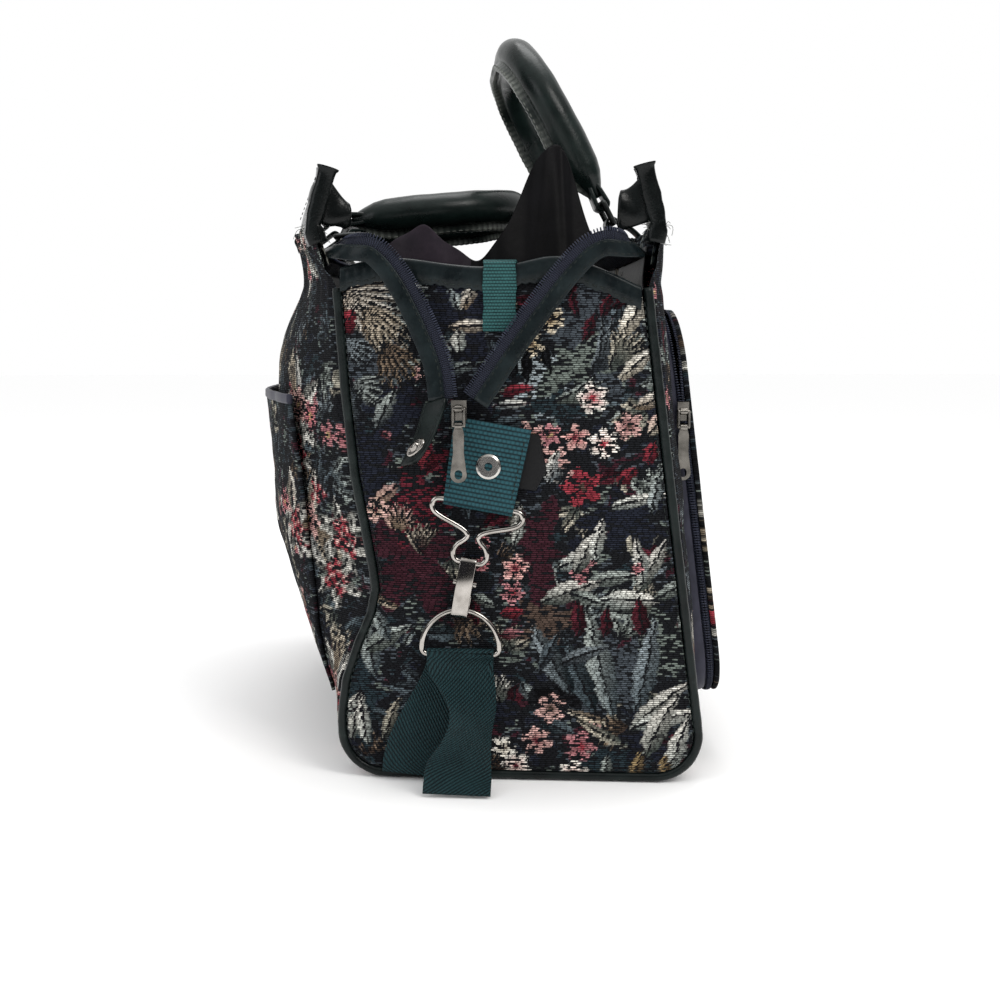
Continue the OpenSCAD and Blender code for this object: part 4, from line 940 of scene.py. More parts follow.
# height of the upper edge of an end; the near one sags and rises
def endTop(end, s):
    if end > 0:
        return bag["endHigh"] + bag["crown"] * (1 - s * s)
    a = shift(bag["endHigh"]) + s * edgeAt(bag["endHigh"], bag["seamInset"])
    places = [-118, -97.5, -81, -66, -51, -36, -21.7, -10, 1.3, 11, 21.5, 30, 39, 58, 76]
    heights = [311, 317.6, 320.4, 319.6, 317.4, 315.3, 314.4, 315.0, 317.2, 319.8, 321.4, 320.2, 317.4, 309.5, 300.5]
    return np.mean([np.interp(a + d, places, heights) for d in (-7, -3.5, 0, 3.5, 7)], 0)


def endSurface(end, s, z):
    a = shift(z) + s * edgeAt(z, bag["seamInset"])
    keep = (1 - s ** 6) * np.sin(math.pi * np.clip((z - 6.3) / 302, 0.0, 1)) ** 0.5
    if end < 0:
        a = a + pinch(z) * ((1 - s) / 2) ** 2
        out = endOut(s, z) + keep * endCreases(a, z)
    else:
        out = endOut(s, z) + keep * (0.9 * grainOf(a, z, 41, 120) + 0.3 * grainOf(a, z, 42, 50))
    top = z + (endTop(end, s) - bag["endHigh"]) * (z / bag["endHigh"]) ** 2
    return endPoint(end, a, -out, top), a, top


def buildEnd(end):
    kind = "end" if end < 0 else "far"
    cols, rows = panels[kind + "Columns"], panels[kind + "Rows"]
    corner = bag["corner"] - (bag["corner"] - bag["seamInset"]) * np.cos(np.linspace(0, math.pi / 2, 20))
    z = np.concatenate([corner[:-1], np.linspace(bag["corner"], bag["endHigh"], rows - 19)])
    s = np.linspace(-1, 1, cols) * -end
    gridS, gridZ = np.meshgrid(s, z)
    points, a, top = endSurface(end, gridS, gridZ)
    colours = paintNearEnd(a, top) if end < 0 else paintSide(a, top, 61)
    return makePiece("endCloth" + endNames[end], points, gridFaces(rows, cols), tapestry,
                     stands=["end_panel_" + endNames[end].lower()], uv=np.stack([a, top], -1), tint=colours)


def sideCreases(side, y, z):
    lift = 1.2 * grainOf(y, z, 51 + side, 130) + 0.4 * grainOf(y, z, 53 + side, 50)
    for k in range(9):
        # gathers that hang from the rim near each ear and chape
        at = [-196, -182, -170, -120, -108, 112, 122, 176, 196][k]
        lift = lift + 2.2 * bump(y, at, 5.0) * np.clip((z - 270) / 60, 0, 1)
    return lift


def sideSurface(side, u, z, inset=0.0):
    points = sidePoint(side, u, z, inset)
    fade = np.clip(1 - np.abs(u) ** 8, 0, 1) * np.clip((z - 30) / 30, 0, 1)
    points[..., 0] += side * fade * sideCreases(side, u * halfLength, z)
    if side > 0:
        # the front side pouts beside the near piping
        pout = np.interp(z, [0, 50, 150, 230, 300, 342], [0, 2, 3.4, 5, 8, 4])
        points[..., 0] += pout * bump(u * halfLength, -184, 19)
    if side < 0:
        pull = pinchPull(u, z)
        points[..., 0] += pull * cosR
        points[..., 1] -= pull * sinR
    return points


def buildSide(side):
    cols, rows = panels["sideColumns"], panels["sideRows"]
    reach = 1 - bag["seamInset"] / halfLength
    z = np.linspace(bag["corner"] + 0.3, bag["sideHigh"], rows)
    u = np.linspace(-reach, reach, cols) * side
    gridU, gridZ = np.meshgrid(u, z)
    outer = sideSurface(side, gridU, gridZ)
    hem = []
    for high, inset in [(342.7, 0.5), (343.0, 1.6), (342.7, 2.7), (341.6, 3.3), (336, 3.4), (328, 3.5), (318, 3.6)]:
        row = sideSurface(side, u, np.full(cols, min(high, bag["sideHigh"])), 0.0)
        row[:, 0] -= side * inset
        row[:, 2] = high
        hem.append(row)
    points = np.concatenate([outer, np.array(hem)])
    edges = []
    for end in (-1, 1):
        level = points[:, 0 if end * side < 0 else -1, 2]
        tuck = np.minimum(level, bag["endHigh"] - 4)
        over = shift(tuck) + side * edgeAt(tuck, 2.6) + (pinch(tuck) if end < 0 and side < 0 else 0)
        edge = endPoint(end, over, 2.4, level)
        keep = np.clip((level - bag["endHigh"] + 4) / 12, 0, 1)[:, None]
        edges.append(edge * (1 - keep) + points[:, 0 if end * side < 0 else -1] * keep)
    first, last = (0, 1) if side > 0 else (1, 0)
    points = np.concatenate([edges[first][:, None], points, edges[last][:, None]], 1)
    gridU = np.concatenate([gridU[:, :1] * 1.03, gridU, gridU[:, -1:] * 1.03], 1)
    gridZ = np.concatenate([gridZ[:, :1], gridZ, gridZ[:, -1:]], 1)
    cols += 2
    y = gridU * halfLength
    run = np.concatenate([gridZ, np.array([[343 + 2 * k] * cols for k in range(len(hem))], float)])
    cross = np.concatenate([y, np.repeat(y[:1], len(hem), 0)])
    extra = [(-196, 150, 8), (-182, 122, 7), (-150, 200, 7)] if side < 0 else []
    colours = paintSide(cross, run, 70 + side, extra)
    name = sideNames[side].lower()
    return makePiece(name + "Cloth", points, gridFaces(rows + len(hem), cols), tapestry,
                     stands=[name + "_panel"], uv=np.stack([cross, run], -1), tint=colours)


def buildBase():
    half = bag["base"] / 2 * cosR - bag["corner"]
    turn = np.linspace(math.pi, 1.5 * math.pi, 14)
    left = np.stack([-half + 30 * np.cos(turn), 30 + 30 * np.sin(turn)], -1)
    flat = np.stack([np.linspace(-half, half, 50)[1:-1], np.zeros(48)], -1)
    profile = np.concatenate([left, flat, left[::-1] * [-1, 1]])
    reach = halfLength - bag["seamInset"] / cosR
    t = np.linspace(-1, 1, 100)
    points = np.zeros((len(t), len(profile), 3))
    points[..., 0] = profile[:, 0]
    points[..., 1] = t[:, None] * reach - profile[:, 0] * math.tan(bag["rack"])
    points[..., 2] = profile[:, 1]
    run = along(np.concatenate([profile, np.zeros((len(profile), 1))], 1))
    gridU, gridV = np.meshgrid(run, t * reach)
    return makePiece("baseCloth", points, gridFaces(len(t), len(profile), flip=True), tapestry,
                     stands=["base_panel"], uv=np.stack([gridU, gridV], -1), tint=paintSide(gridU, gridV, 90))


buildEnd(-1)
buildEnd(1)
buildSide(-1)
buildSide(1)
buildBase()
print("tapestry panels built")


# piping round both ends
def buildPiping(end):
    spec = {"radius": 3.0, "inset": 3.0, "rings": 300, "sides": 12, "seam": 5.2, "middle": 160.0}
    sideZ = np.linspace(bag["endHigh"] - 4, bag["corner"], 90)
    turnZ = bag["corner"] - (bag["corner"] - spec["inset"]) * np.sin(np.linspace(0, math.pi / 2, 16)[1:])
    down = np.concatenate([sideZ, turnZ])
    left = np.stack([shift(down) - edgeAt(down, spec["inset"]) + (pinch(down) if end < 0 else 0), down], -1)
    right = np.stack([shift(down) + edgeAt(down, spec["inset"]), down], -1)[::-1]
    foot = np.linspace(left[-1][0], right[0][0], 40)[1:-1]
    path2 = np.concatenate([left, np.stack([foot, np.full(len(foot), spec["inset"])], -1), right])
    path = endPoint(end, path2[:, 0], np.full(len(path2), spec["inset"] - 0.6), path2[:, 1])
    count, sides = spec["rings"], spec["sides"]
    path = resample(path, count)
    radius = spec["radius"] * (1 + 0.05 * np.sin(np.arange(count) * 0.9) * np.sin(np.arange(count) * 0.37))
    rings = tubeRings(path, radius, sides, up=np.array([0.0, 1, 0]))
    name = "piping" + endNames[end]
    makePiece(name, rings, ringFaces(count, sides), darkLeather,
              stands=["piping_" + endNames[end].lower()])
    # the seam line beside the cord
    inner = path2 + unit(np.array([0.0, spec["middle"]]) - path2) * spec["seam"]
    seam = resample(endPoint(end, inner[:, 0], np.full(len(inner), -0.9), inner[:, 1]), 400)
    lot = Lot()
    stitchRow(lot, seam, np.repeat(outOf(end)[None], 400, 0), 2.6, 2.0, 0.4)
    lot.done(name + "Stitches", stitchThread, "dark_leather")


buildPiping(-1)
buildPiping(1)


# leather binding over the top edge of each end, its lower edge puckered by the stitches
def buildBinding(end):
    spec = {"thick": 1.5, "low": 296.0, "deep": 12.3, "columns": 190, "pucker": 5.2}
    s = np.linspace(-1, 1, spec["columns"])
    a = shift(bag["endHigh"]) + s * edgeAt(bag["endHigh"], bag["seamInset"])
    ripple = np.sin(a * 2 * math.pi / spec["pucker"])
    top = endTop(end, s) + 0.3
    low = top - spec["deep"] + (0.5 * ripple + 0.6 * np.sin(a * 2 * math.pi / 17 + 1))
    front = -endOut(s, spec["low"]) - 0.7
    profile = []
    for f in (0, 0.05, 0.2, 0.45, 0.7, 0.9, 1.0):
        swell = 0.9 * math.sin(math.pi * min(1, f * 1.1)) * (1 + 0.25 * ripple) if f < 0.9 else 0
        profile.append((front - spec["thick"] - swell, low + (top - low) * f))
    profile += [(front - 0.9, top + 1.1), (front + 0.5, top + 1.8)]
    profile += [(np.full_like(a, b), z) for b, z in (
        (2.0, top + 1.9), (4.0, top + 1.3), (4.8, top + 0.2), (4.8, low + 2), (3.3, low + 2), (3.2, top - 1))]
    profile += [(front + 0.4, top - 1), (front + 0.2, low + 0.5)]
    ring = np.stack([endPoint(end, a, b, z) for b, z in profile], 1)
    if end < 0:
        ring = ring[:, ::-1]
    name = "binding" + endNames[end]
    makePiece(name, ring, ringFaces(len(a), len(profile)), darkLeather if end > 0 else facingLeather,
              stands=["binding_" + endNames[end].lower()])
    lot = Lot()
    line = endPoint(end, a, front - 2.25, low + 2.6)
    stitchRow(lot, line, np.repeat(outOf(end)[None], len(a), 0), 3.4, 1.8, 0.5, 0.0)
    lot.done(name + "Stitches", stitchThread, "dark_leather")


buildBinding(-1)
buildBinding(1)


# ribbed webbing loop over the binding
def buildGrabLoop(end):
    spec = {"width": 20.0, "thick": 1.6, "across": 6.0, "low": 278.0, "top": 320.0, "inside": 6.0}
    middle = float(shift(bag["endHigh"])) + spec["across"]
    out = -(float(endOut(0.0, 296.0)) + 3.0)
    low, top, inside = spec["low"], spec["top"], spec["inside"]
    line = [(out + 1.4, low), (out + 0.2, low + 6), (out - 0.6, 300), (out - 0.8, top - 5), (out + 0.4, top - 1.2),
            ((out + inside) / 2, top), (inside - 1.2, top - 1.2), (inside, top - 5), (inside, low + 8), (inside, low)]
    path2 = spline([(x, z, 0) for x, z in line], 9)
    path = endPoint(end, np.full(len(path2), middle), path2[:, 0], path2[:, 1])
    across = np.repeat(np.array([[cosR, -sinR, 0.0]]), len(path), 0)
    o = np.cross(across, tangents(path)) * -1
    profile = flatBand(spec["width"], spec["thick"])
    run = along(path)
    width = 1 + 0.03 * np.sin(run / 3.5) + 0.02 * np.sin(run / 1.3)
    rings = sweepRings(path, across, o, profile[None] * np.stack([width, np.ones_like(width)], -1)[:, None, :])
    makePiece("loop" + endNames[end], rings, ringFaces(len(path), len(profile)), loopWebbing,
              stands=["grab_loop_" + endNames[end].lower()], uv=sweptUv(path, profile))


buildGrabLoop(-1)
buildGrabLoop(1)


# places on the rim of a side: across, along, up
rimTop = bag["sideHigh"]
earAlong = 194.0
studSides = 28


def rimFrame(side, at):
    swell = bag["backSwell"] if side < 0 else bag["frontSwell"]
    over = float(shift(rimTop)) + side * (float(halfWidth(rimTop)) - bag["cloth"] / 2)

    def bow(v):
        return side * swell * bag["rimShare"] * float(swellAlong(v / halfLength))

    def below(d):
        return float(shift(rimTop - d)) + side * float(halfWidth(rimTop - d))

    turn = -math.atan((bow(at + 1) - bow(at - 1)) / 2)
    lean = math.atan((below(0) - below(1)) * cosR)
    origin = np.array([over * cosR + bow(at), -over * sinR + at, rimTop])
    zTurn = np.array([[math.cos(turn), -math.sin(turn), 0], [math.sin(turn), math.cos(turn), 0], [0, 0, 1]])
    yTurn = np.array([[math.cos(lean), 0, math.sin(lean)], [0, 1, 0], [-math.sin(lean), 0, math.cos(lean)]])
    flip = np.diag([-1.0, 1, 1]) if side < 0 else np.eye(3)
    return origin, zTurn @ yTurn @ flip


def onRim(side, at, points):
    origin, turn = rimFrame(side, at)
    return origin + np.asarray(points, float) @ turn.T


# corner ears: a flat leather sleeve over the rim, rolled at its near edge,
# with a lip above and a tail along the rim
def buildEar(side, end):
    spec = {"tilt": 32.0 if side < 0 else 24.0, "near": 12.0, "tail": 42.0, "squat": 0.8, "snap": 20.0}
    at = end * earAlong
    tilt = math.radians(spec["tilt"])
    way = np.array([-math.sin(tilt), math.cos(tilt)])
    over = np.array([math.cos(tilt), math.sin(tilt)])
    levels = [(-11, 4.2), (-9, 4.4), (-6, 4.3), (-3, 3.9), (-0.5, 3.5), (0.9, 3.4), (3, 3.5), (6, 3.7), (10, 3.9),
              (15, 4.0), (21, 4.0), (27, 3.9), (32, 3.7), (36, 3.6), (39, 3.7), (41.4, 4.1), (43, 4.7), (44, 4.9),
              (44.3, 4.4), (43.4, 3.6), (40, 3.1)]
    rows = []
    for level, half in levels:
        z = level if level < 6 else 6 + (level - 6) * spec["squat"]
        far = spec["near"]
        if level >= 0.8:
            far = np.interp(level, [0.8, 5, 43], [spec["tail"], spec["tail"], spec["near"]])
        lip = np.interp(level, [38, 43, 46], [0, 1.6, 2.2])
        near = -spec["near"] - lip * 0.6
        flat = np.linspace(1, 0, 26)
        y1 = near + (far - near) * flat
        thin = np.interp(y1, [-15, -11, -7, 4, 14, 42], [1.5, 1.4, 1.0, 1.0, 0.86, 0.5])
        ripple = 1 + 0.05 * np.sin(z * 0.55 + y1 * 0.23) + 0.03 * np.sin(z * 1.3 - y1 * 0.4)
        w1 = half * thin * ripple
        turn = np.linspace(0, math.pi, 11)[1:-1]
        loop = [(w, y) for w, y in zip(w1, y1)]
        loop += [(w1[-1] * math.cos(q), near - 3.2 * math.sin(q)) for q in turn]
        loop += [(-w, y) for w, y in zip(w1[::-1], y1[::-1])]
        loop += [(-w1[0] * math.cos(q), far + 1.2 * math.sin(q)) for q in turn[::2]]
        for w, y in loop:
            x, up = (w, z) if z <= 0 else way * z + over * w
            rows.append((x, y * -end, up))
    n = len(levels)
    points = onRim(side, at, np.array(rows)).reshape(n, -1, 3)
    tag = endNames[end] + sideNames[side]
    node = "ear_" + endNames[end].lower() + "_" + sideNames[side].lower()
    makePiece("ear" + tag, points, flipped(ringFaces(n, points.shape[1]), side * end > 0), earLeather,
              stands=[node])
    lot = Lot()
    for face in (1, -1):
        lines = [[(y, z) for y, z in zip(np.full(30, -10.4), np.linspace(3, 32, 30))],
                 [(y, z) for y, z in zip(np.linspace(10, 37, 30), np.linspace(32, 5.5, 30))]]
        for line in lines:
            flat = [way * z + over * face * 3.8 for y, z in line]
            run = np.array([[x, y * -end, up] for (y, z), (x, up) in zip(line, flat)])
            up = np.repeat(np.array([[over[0] * face, 0, over[1] * face]]), 30, 0)
            stitchRow(lot, onRim(side, at, run), up @ rimFrame(side, at)[1].T, 2.4, 1.8, 0.38, -0.15)
    lot.done("earStitches" + tag, stitchThread, "dark_leather")
    # the soft wedge of leather that runs from the inner face down to the corner of the zip
    f = np.linspace(0, 1, 26)[:, None]
    foot, head = way * 3 - over * 2.6, way * 31 - over * 2.6
    heel, toe = np.array([[-22.0, -8.0], [-27.0, 6.0]] if side < 0 else [[-24.0, -9.0], [-27.0, 16.0]])
    low, high = foot * (1 - f) + heel * f, head * (1 - f) + toe * f
    high = high - np.array([0, 3.0]) * np.sin(math.pi * f)
    ring = roundAngles(20)
    middle, half = (low + high) / 2, (high - low) / 2
    taper = np.sin(math.pi * np.minimum(1, (1 - f) * 5 + 0.45) / 2)
    shape = middle[:, None, :] + half[:, None, :] * np.sin(ring)[None, :, None] * taper[..., None]
    deep = -8 - 2 * f + (3.4 - 0.8 * f) * np.cos(ring)[None] * taper + 0.5 * np.sin(6 * f + ring[None] * 2)
    wedge = np.stack([shape[..., 0], deep * -end, shape[..., 1]], -1)
    makePiece("earWedge" + tag, onRim(side, at, wedge.reshape(-1, 3)), flipped(ringFaces(26, 20), side * end < 0),
              earLeather)
    # press studs: a dark cap outside, a bright socket inside
    cap = [(7.0, 0), (7.0, 0.8), (6.4, 1.6), (4.6, 2.1), (2.0, 2.3), (0.05, 2.35)]
    socket = [(6.4, 0), (6.4, 0.9), (5.8, 1.5), (4.7, 1.6), (4.1, 1.0), (3.6, 0.9), (3.2, 1.9), (2.6, 2.1), (0.05, 2.1)]
    for kind, face, material, outline in [("Cap", 1, darkSnap, cap), ("Socket", -1, nickel, socket)]:
        turn = roundAngles(studSides)
        rows = np.array([[way * (spec["snap"] + r * math.sin(q)) + over * face * (3.4 + out) for q in turn]
                         for r, out in outline])
        lie = np.array([[r * math.cos(q) for q in turn] for r, out in outline])
        disc = np.stack([rows[..., 0], lie * -end, rows[..., 1]], -1)
        makePiece("ear" + kind + tag, onRim(side, at, disc.reshape(-1, 3)),
                  flipped(ringFaces(len(outline), studSides), side * end * face > 0), material,
                  stands=["corner_snaps"])


def buildFrays():
    # threads pulled loose at the pinched foot of each ear
    lot = Lot()
    pick = np.random.default_rng(23)
    for side in (-1, 1):
        for end in (-1, 1):
            for k in range(20):
                y = end * earAlong + pick.uniform(-15, 15)
                face = pick.choice([-1, 1])
                start = np.array([face * (4.0 + pick.uniform(0, 0.8)), y - end * earAlong, pick.uniform(-10, 3)])
                way = [face * pick.uniform(0.1, 0.9), pick.uniform(-1, 0.4) if end < 0 else pick.uniform(-0.4, 1)]
                way = np.array(way + [pick.uniform(-1.0, 0.7)])
                size = pick.uniform(2.5, 8)
                curl = pick.uniform(-1, 1, 3) * size * 0.35
                t = np.linspace(0, 1, 8)[:, None]
                path = start + unit(way) * size * t + curl * np.sin(t * math.pi) + np.array([0, 0, -size * 0.3]) * t * t
                lot.tube(onRim(side, end * earAlong, path), 0.17, 5)
    lot.done("looseThreads", paleThread, "dark_leather")


for side in (-1, 1):
    for end in (-1, 1):
        buildEar(side, end)
buildFrays()


# chapes: a strip that goes round each handle ring and down both faces of the rim
def buildChapes(side):
    spec = {"length": 20.0, "thick": 1.6, "bend": math.radians(70), "up": 20.0, "along": 75.0}
    way = np.array([-math.sin(spec["bend"]), math.cos(spec["bend"])])
    over = np.array([math.cos(spec["bend"]), math.sin(spec["bend"])])
    line = [(3.5, -8), (3.5, -4), (3.5, 0)]
    line += [tuple(way * z + over * w) for z, w in ((5, 3.5), (10, 3.5), (15, 3.6))]
    for q in np.radians([20, 65, 115, 160]):
        line.append(tuple(way * (spec["up"] + 3.7 * math.sin(q)) + over * 3.7 * math.cos(q)))
    line += [tuple(way * z + over * w) for z, w in ((15, -3.6), (10, -3.5), (5, -3.5), (1.2, -3.5))]
    line += [(-3.5, -1.2), (-3.5, -4.5), (-3.5, -8)]
    path2 = spline([(x, z, 0) for x, z in line], 6)[:, :2]
    profile = flatBand(spec["length"], spec["thick"])
    rings = stripRings(path2, profile, (0, 2, 1)).reshape(-1, 3)
    lot = Lot()
    for end in (-1, 1):
        lot.add(onRim(side, end * spec["along"], rings), flipped(ringFaces(len(path2), len(profile)), side > 0))
    lot.done("chapes" + sideNames[side], darkLeather, "dark_leather", stands=["chapes_" + sideNames[side].lower()])


buildChapes(-1)
buildChapes(1)
print("edge leather built")


# main zip: facing, tape and coil along one line for each side
zipper = {"rim": 330.0, "inset": 12.6, "foot": (-35.0, 238.0), "depth": 8.5, "footOut": 8.0}


def openArm(side, count):
    points = [(-26.5, 238), (-8, 266), (9, 290), (25, 311), (40, 327), (51, 332.5)]
    if side < 0:
        points = [(-43.5, 238), (-46.5, 258), (-55.5, 281), (-67, 304), (-78, 320), (-88, 329)]
    return resample(spline([(a, z, 0) for a, z in points], 12), count)[:, :2]


def acrossArm(side, slope):
    across = unit(np.stack([slope[:, 1], -slope[:, 0]], -1)) * -side
    return np.stack([across[:, 0] * cosR, -across[:, 0] * sinR, across[:, 1]], -1)


def zipLine(side):
    corner = float(shift(zipper["rim"])) + side * (float(halfWidth(zipper["rim"])) - zipper["inset"])
    foot = np.array([zipper["foot"][0] + side * 8.5, zipper["foot"][1]])
    top = np.array([corner, zipper["rim"]])
    bend = foot + (np.array([-2.5, 72.0]) if side < 0 else np.array([24.5, 74.0]))
    t = np.append(np.linspace(0, 0.9, 56), 1.0)[:, None]
    bow = foot * (1 - t) ** 2 + bend * 2 * t * (1 - t) + top * t * t
    armWay = acrossArm(side, 2 * (1 - t) * (bend - foot) + 2 * t * (top - bend))
    depth = -(zipper["depth"] + zipper["footOut"] * (1 - t[:, 0]) ** 2)
    j = np.linspace(-0.9, 0.9, 120)
    swell = bag["backSwell"] if side < 0 else bag["frontSwell"]
    run = np.stack([corner * cosR + side * swell * float(swellUp(zipper["rim"])) * swellAlong(j),
                    j * (halfLength - 6) - corner * sinR, np.full(120, zipper["rim"])], -1)
    runWay = np.repeat(np.array([[-0.8 * side, 0, 0.6]]), 120, 0)
    f = np.linspace(0, 1, 18)[1:-1, None]
    halves = {}
    for end in (-1, 1):
        bent, ways = bow, armWay
        if end < 0:
            bent = np.concatenate([openArm(side, len(bow) - 1), top[None]])
            ways = acrossArm(side, np.gradient(bent, axis=0))
        arm = endPoint(end, bent[:, 0], depth, bent[:, 1])
        last = run[0] if end < 0 else run[-1]
        turn = arm[-2] * (1 - f) ** 2 + arm[-1] * 2 * f * (1 - f) + last * f * f
        turnWay = ways[-2] * (1 - f) + runWay[0] * f
        halves[end] = (np.concatenate([arm[:-1], turn]), np.concatenate([ways[:-1], turnWay]))
    path = np.concatenate([halves[-1][0], run, halves[1][0][::-1]])
    way = np.concatenate([halves[-1][1], runWay, halves[1][1][::-1]])
    for _ in range(4):
        path[1:-1] = (path[:-2] + 2 * path[1:-1] + path[2:]) / 4
        way[1:-1] = (way[:-2] + 2 * way[1:-1] + way[2:]) / 4
    way = unit(way)
    out = unit(side * np.cross(tangents(path), way))
    return path, way, out


def buildZip(side):
    spec = {"facing": 10.0, "tape": 5.5, "coil": 1.3, "tooth": 1.5}
    path, way, out = zipLine(side)
    tag = sideNames[side]
    node = tag.lower()
    run = along(path)
    puff = 0.5 if side < 0 else 0.15
    facing = np.repeat(slab(-spec["facing"], 0, 0.35, 1.8, 0.65)[None], len(path), 0)
    facing[..., 1] += (facing[..., 1] > 1.1) * puff * (1 + 0.4 * np.sin(run / 3.1))[:, None] * np.sin(
        np.clip(-facing[..., 0] / spec["facing"], 0, 1) * math.pi)
    makePiece("zipFacing" + tag, sweepRings(path, way, out, facing),
              flipped(ringFaces(len(path), facing.shape[1]), side > 0), facingLeather,
              stands=["zip_facing_" + node])
    tape = slab(2 - spec["facing"], spec["tape"], -1.0, -0.1, 0.4)
    makePiece("zipTape" + tag, sweepRings(path, way, out, tape), flipped(ringFaces(len(path), len(tape)), side > 0),
              zipCloth, stands=["zip_tape_" + node], uv=sweptUv(path, tape))
    teeth = Lot()
    count = int(run[-1] / spec["tooth"])
    at = (np.arange(count) + 0.5) * spec["tooth"]
    p, w, o, t = [pointAt(at, run, v) for v in (path, way, out, tangents(path))]
    w, o, t = unit(w), unit(o), unit(t)
    for i in range(count):
        base = p[i] + w[i] * (spec["tape"] - 0.3) + o[i] * -0.5
        tip = p[i] + w[i] * (spec["tape"] + 1.7) + o[i] * -0.5
        for lift in (0.75, -0.75):
            teeth.bar(base + o[i] * lift, tip + o[i] * lift * 0.8, 0.46, o[i], 1.0, 4)
        teeth.bar(tip + o[i] * -0.9, tip + o[i] * 0.9, 0.55, t[i], 1.0, 4)
    teeth.done("zipCoil" + tag, coilNylon, "zip_nylon", stands=["zip_coil_" + node])
    lot = Lot()
    for offset in ((-1.6,) if side < 0 else (-1.4, -8.2)):
        stitchRow(lot, path + way * offset + out * (1.8 + puff * 0.4), out, 2.4, 1.9, 0.4, 0.0)
    lot.done("zipStitches" + tag, stitchThread, "facing_leather")


buildZip(-1)
buildZip(1)


# leather tab that ends the zip, and its plain mate at the far end
def buildZipTab():
    spec = {"half": 8.0, "thick": 3.2, "top": 236.7, "length": 38, "snap": 0.74, "farLow": 203.6, "farTop": 237.6}
    t = np.linspace(0, 1, 40)
    place = np.stack([-49 - 16 * t + 2 * np.sin(math.pi * t), -17.1 - 5 * t - 0.8 * np.sin(t * 9),
                      spec["top"] - spec["length"] * t], -1)
    turn = np.radians(18 + 24 * t)
    w = unit(np.stack([np.cos(turn), -np.sin(turn), np.full_like(t, 0.25)], -1))
    tan = tangents(place)
    o = unit(np.cross(tan, w))
    narrow = np.interp(t, [0, 0.08, 0.9, 0.97, 1.0], [0.9, 1, 1, 0.86, 0.6])
    profile = slab(-spec["half"], spec["half"], -spec["thick"] / 2, spec["thick"] / 2, 1.2)
    profile = profile[None] * np.stack([narrow, np.ones_like(t)], -1)[:, None, :]
    local = sweepRings(place, w, o, profile)
    makePiece("zipEndTab", against(-1, local), ringFaces(40, profile.shape[1]), darkLeather,
              stands=["zip_end_tab"])
    lot = Lot()
    for side in (-5.8, 5.8):
        line = place + w * side + o * 1.6
        stitchRow(lot, against(-1, line), against(-1, o) - endPoint(-1, 0.0, 0.0, 0.0), 2.4, 1.8, 0.4)
    lot.done("zipEndTabStitches", stitchThread, "dark_leather")
    k = int(round(spec["snap"] * 39))
    ring = roundAngles(studSides)
    outline = [(6.2, 1.2), (6.2, 2.2), (5.6, 2.9), (4.4, 3.0), (4.0, 2.4), (2.9, 2.4), (2.6, 4.2), (2.2, 4.8),
               (0.05, 4.9)]
    rows = np.array([[place[k] + w[k] * r * math.cos(q) + tan[k] * r * math.sin(q) + o[k] * out for q in ring]
                     for r, out in outline])
    makePiece("zipEndStud", against(-1, rows), ringFaces(len(rows), studSides), nickel,
              stands=["zip_end_snap"])
    far = slab(-9, 9, 0, 3, 1.2)
    levels = np.linspace(spec["farLow"], spec["farTop"], 24)
    narrow = np.interp(levels, [spec["farLow"], 206, 210, spec["farTop"]], [0.55, 0.86, 1, 1])
    ring = np.stack([endPoint(1, -35 + far[:, 0] * n, -18 + far[:, 1], np.full(len(far), z))
                     for n, z in zip(narrow, levels)])
    makePiece("zipFarTab", ring, flipped(ringFaces(24, len(far))), darkLeather, stands=["zip_far_stop"])


buildZipTab()
print("zip built")


# lining: a slack shell inside the walls, carried up under the hems
def buildLining():
    spec = {"depth": 3.7, "chamfer": 5.0, "rows": 44, "low": 8.4, "endTop": 303.0, "sideMore": 28, "span": 0.76}
    reach = 1 - spec["depth"] / halfLength
    span = spec["span"]
    parts = [("end", -1, np.linspace(-1, 1, 40)), ("side", 1, np.linspace(-span, span, 80)),
             ("end", 1, np.linspace(1, -1, 40)), ("side", -1, np.linspace(span, -span, 80))]
    columns = []
    for k in range(spec["rows"]):
        ring = []
        f = k / (spec["rows"] - 1)
        for kind, way, at in parts:
            top = np.full(len(at), spec["endTop"])
            if kind == "side":
                top = spec["endTop"] + spec["sideMore"] * np.clip((span - np.abs(at)) / 0.12, 0, 1)
            z = spec["low"] + (top - spec["low"]) * f
            loose = (1 - np.clip((z - 300) / 26, 0, 1)) * (1.0 + grainOf(at * 160, z, 90 + way, 60))
            slack = spec["depth"] + 0.2 + loose * np.clip((z - 12) / 40, 0, 1) * 1.6
            if kind == "end":
                a = shift(z) + at * (edgeAt(z, spec["depth"]) - spec["chamfer"])
                if way < 0:
                    a = a + pinch(z) * ((1 - at) / 2) ** 2
                ring.append(endPoint(way, a, slack + 0.6 - endOut(at, z), z))
            else:
                u = reach * at / span * 0.985
                p = sidePoint(way, u, z, spec["depth"])
                p[..., 0] -= way * (slack - spec["depth"])
                if way < 0:
                    pull = pinchPull(u, z)
                    p[..., 0] += pull * cosR
                ring.append(p)
        columns.append(np.concatenate(ring))
    rings = np.array(columns)
    n, m = rings.shape[:2]
    faces = ringFaces(n, m, caps=False)
    centre = rings[0].mean(0)
    points = np.concatenate([rings.reshape(-1, 3), [centre]])
    faces += [[(k + 1) % m, k, n * m] for k in range(m)]
    lining = makePiece("liningShell", points, faces, liningDark, stands=["lining"])
    thicken(lining, 0.0008, 0.0)


buildLining()


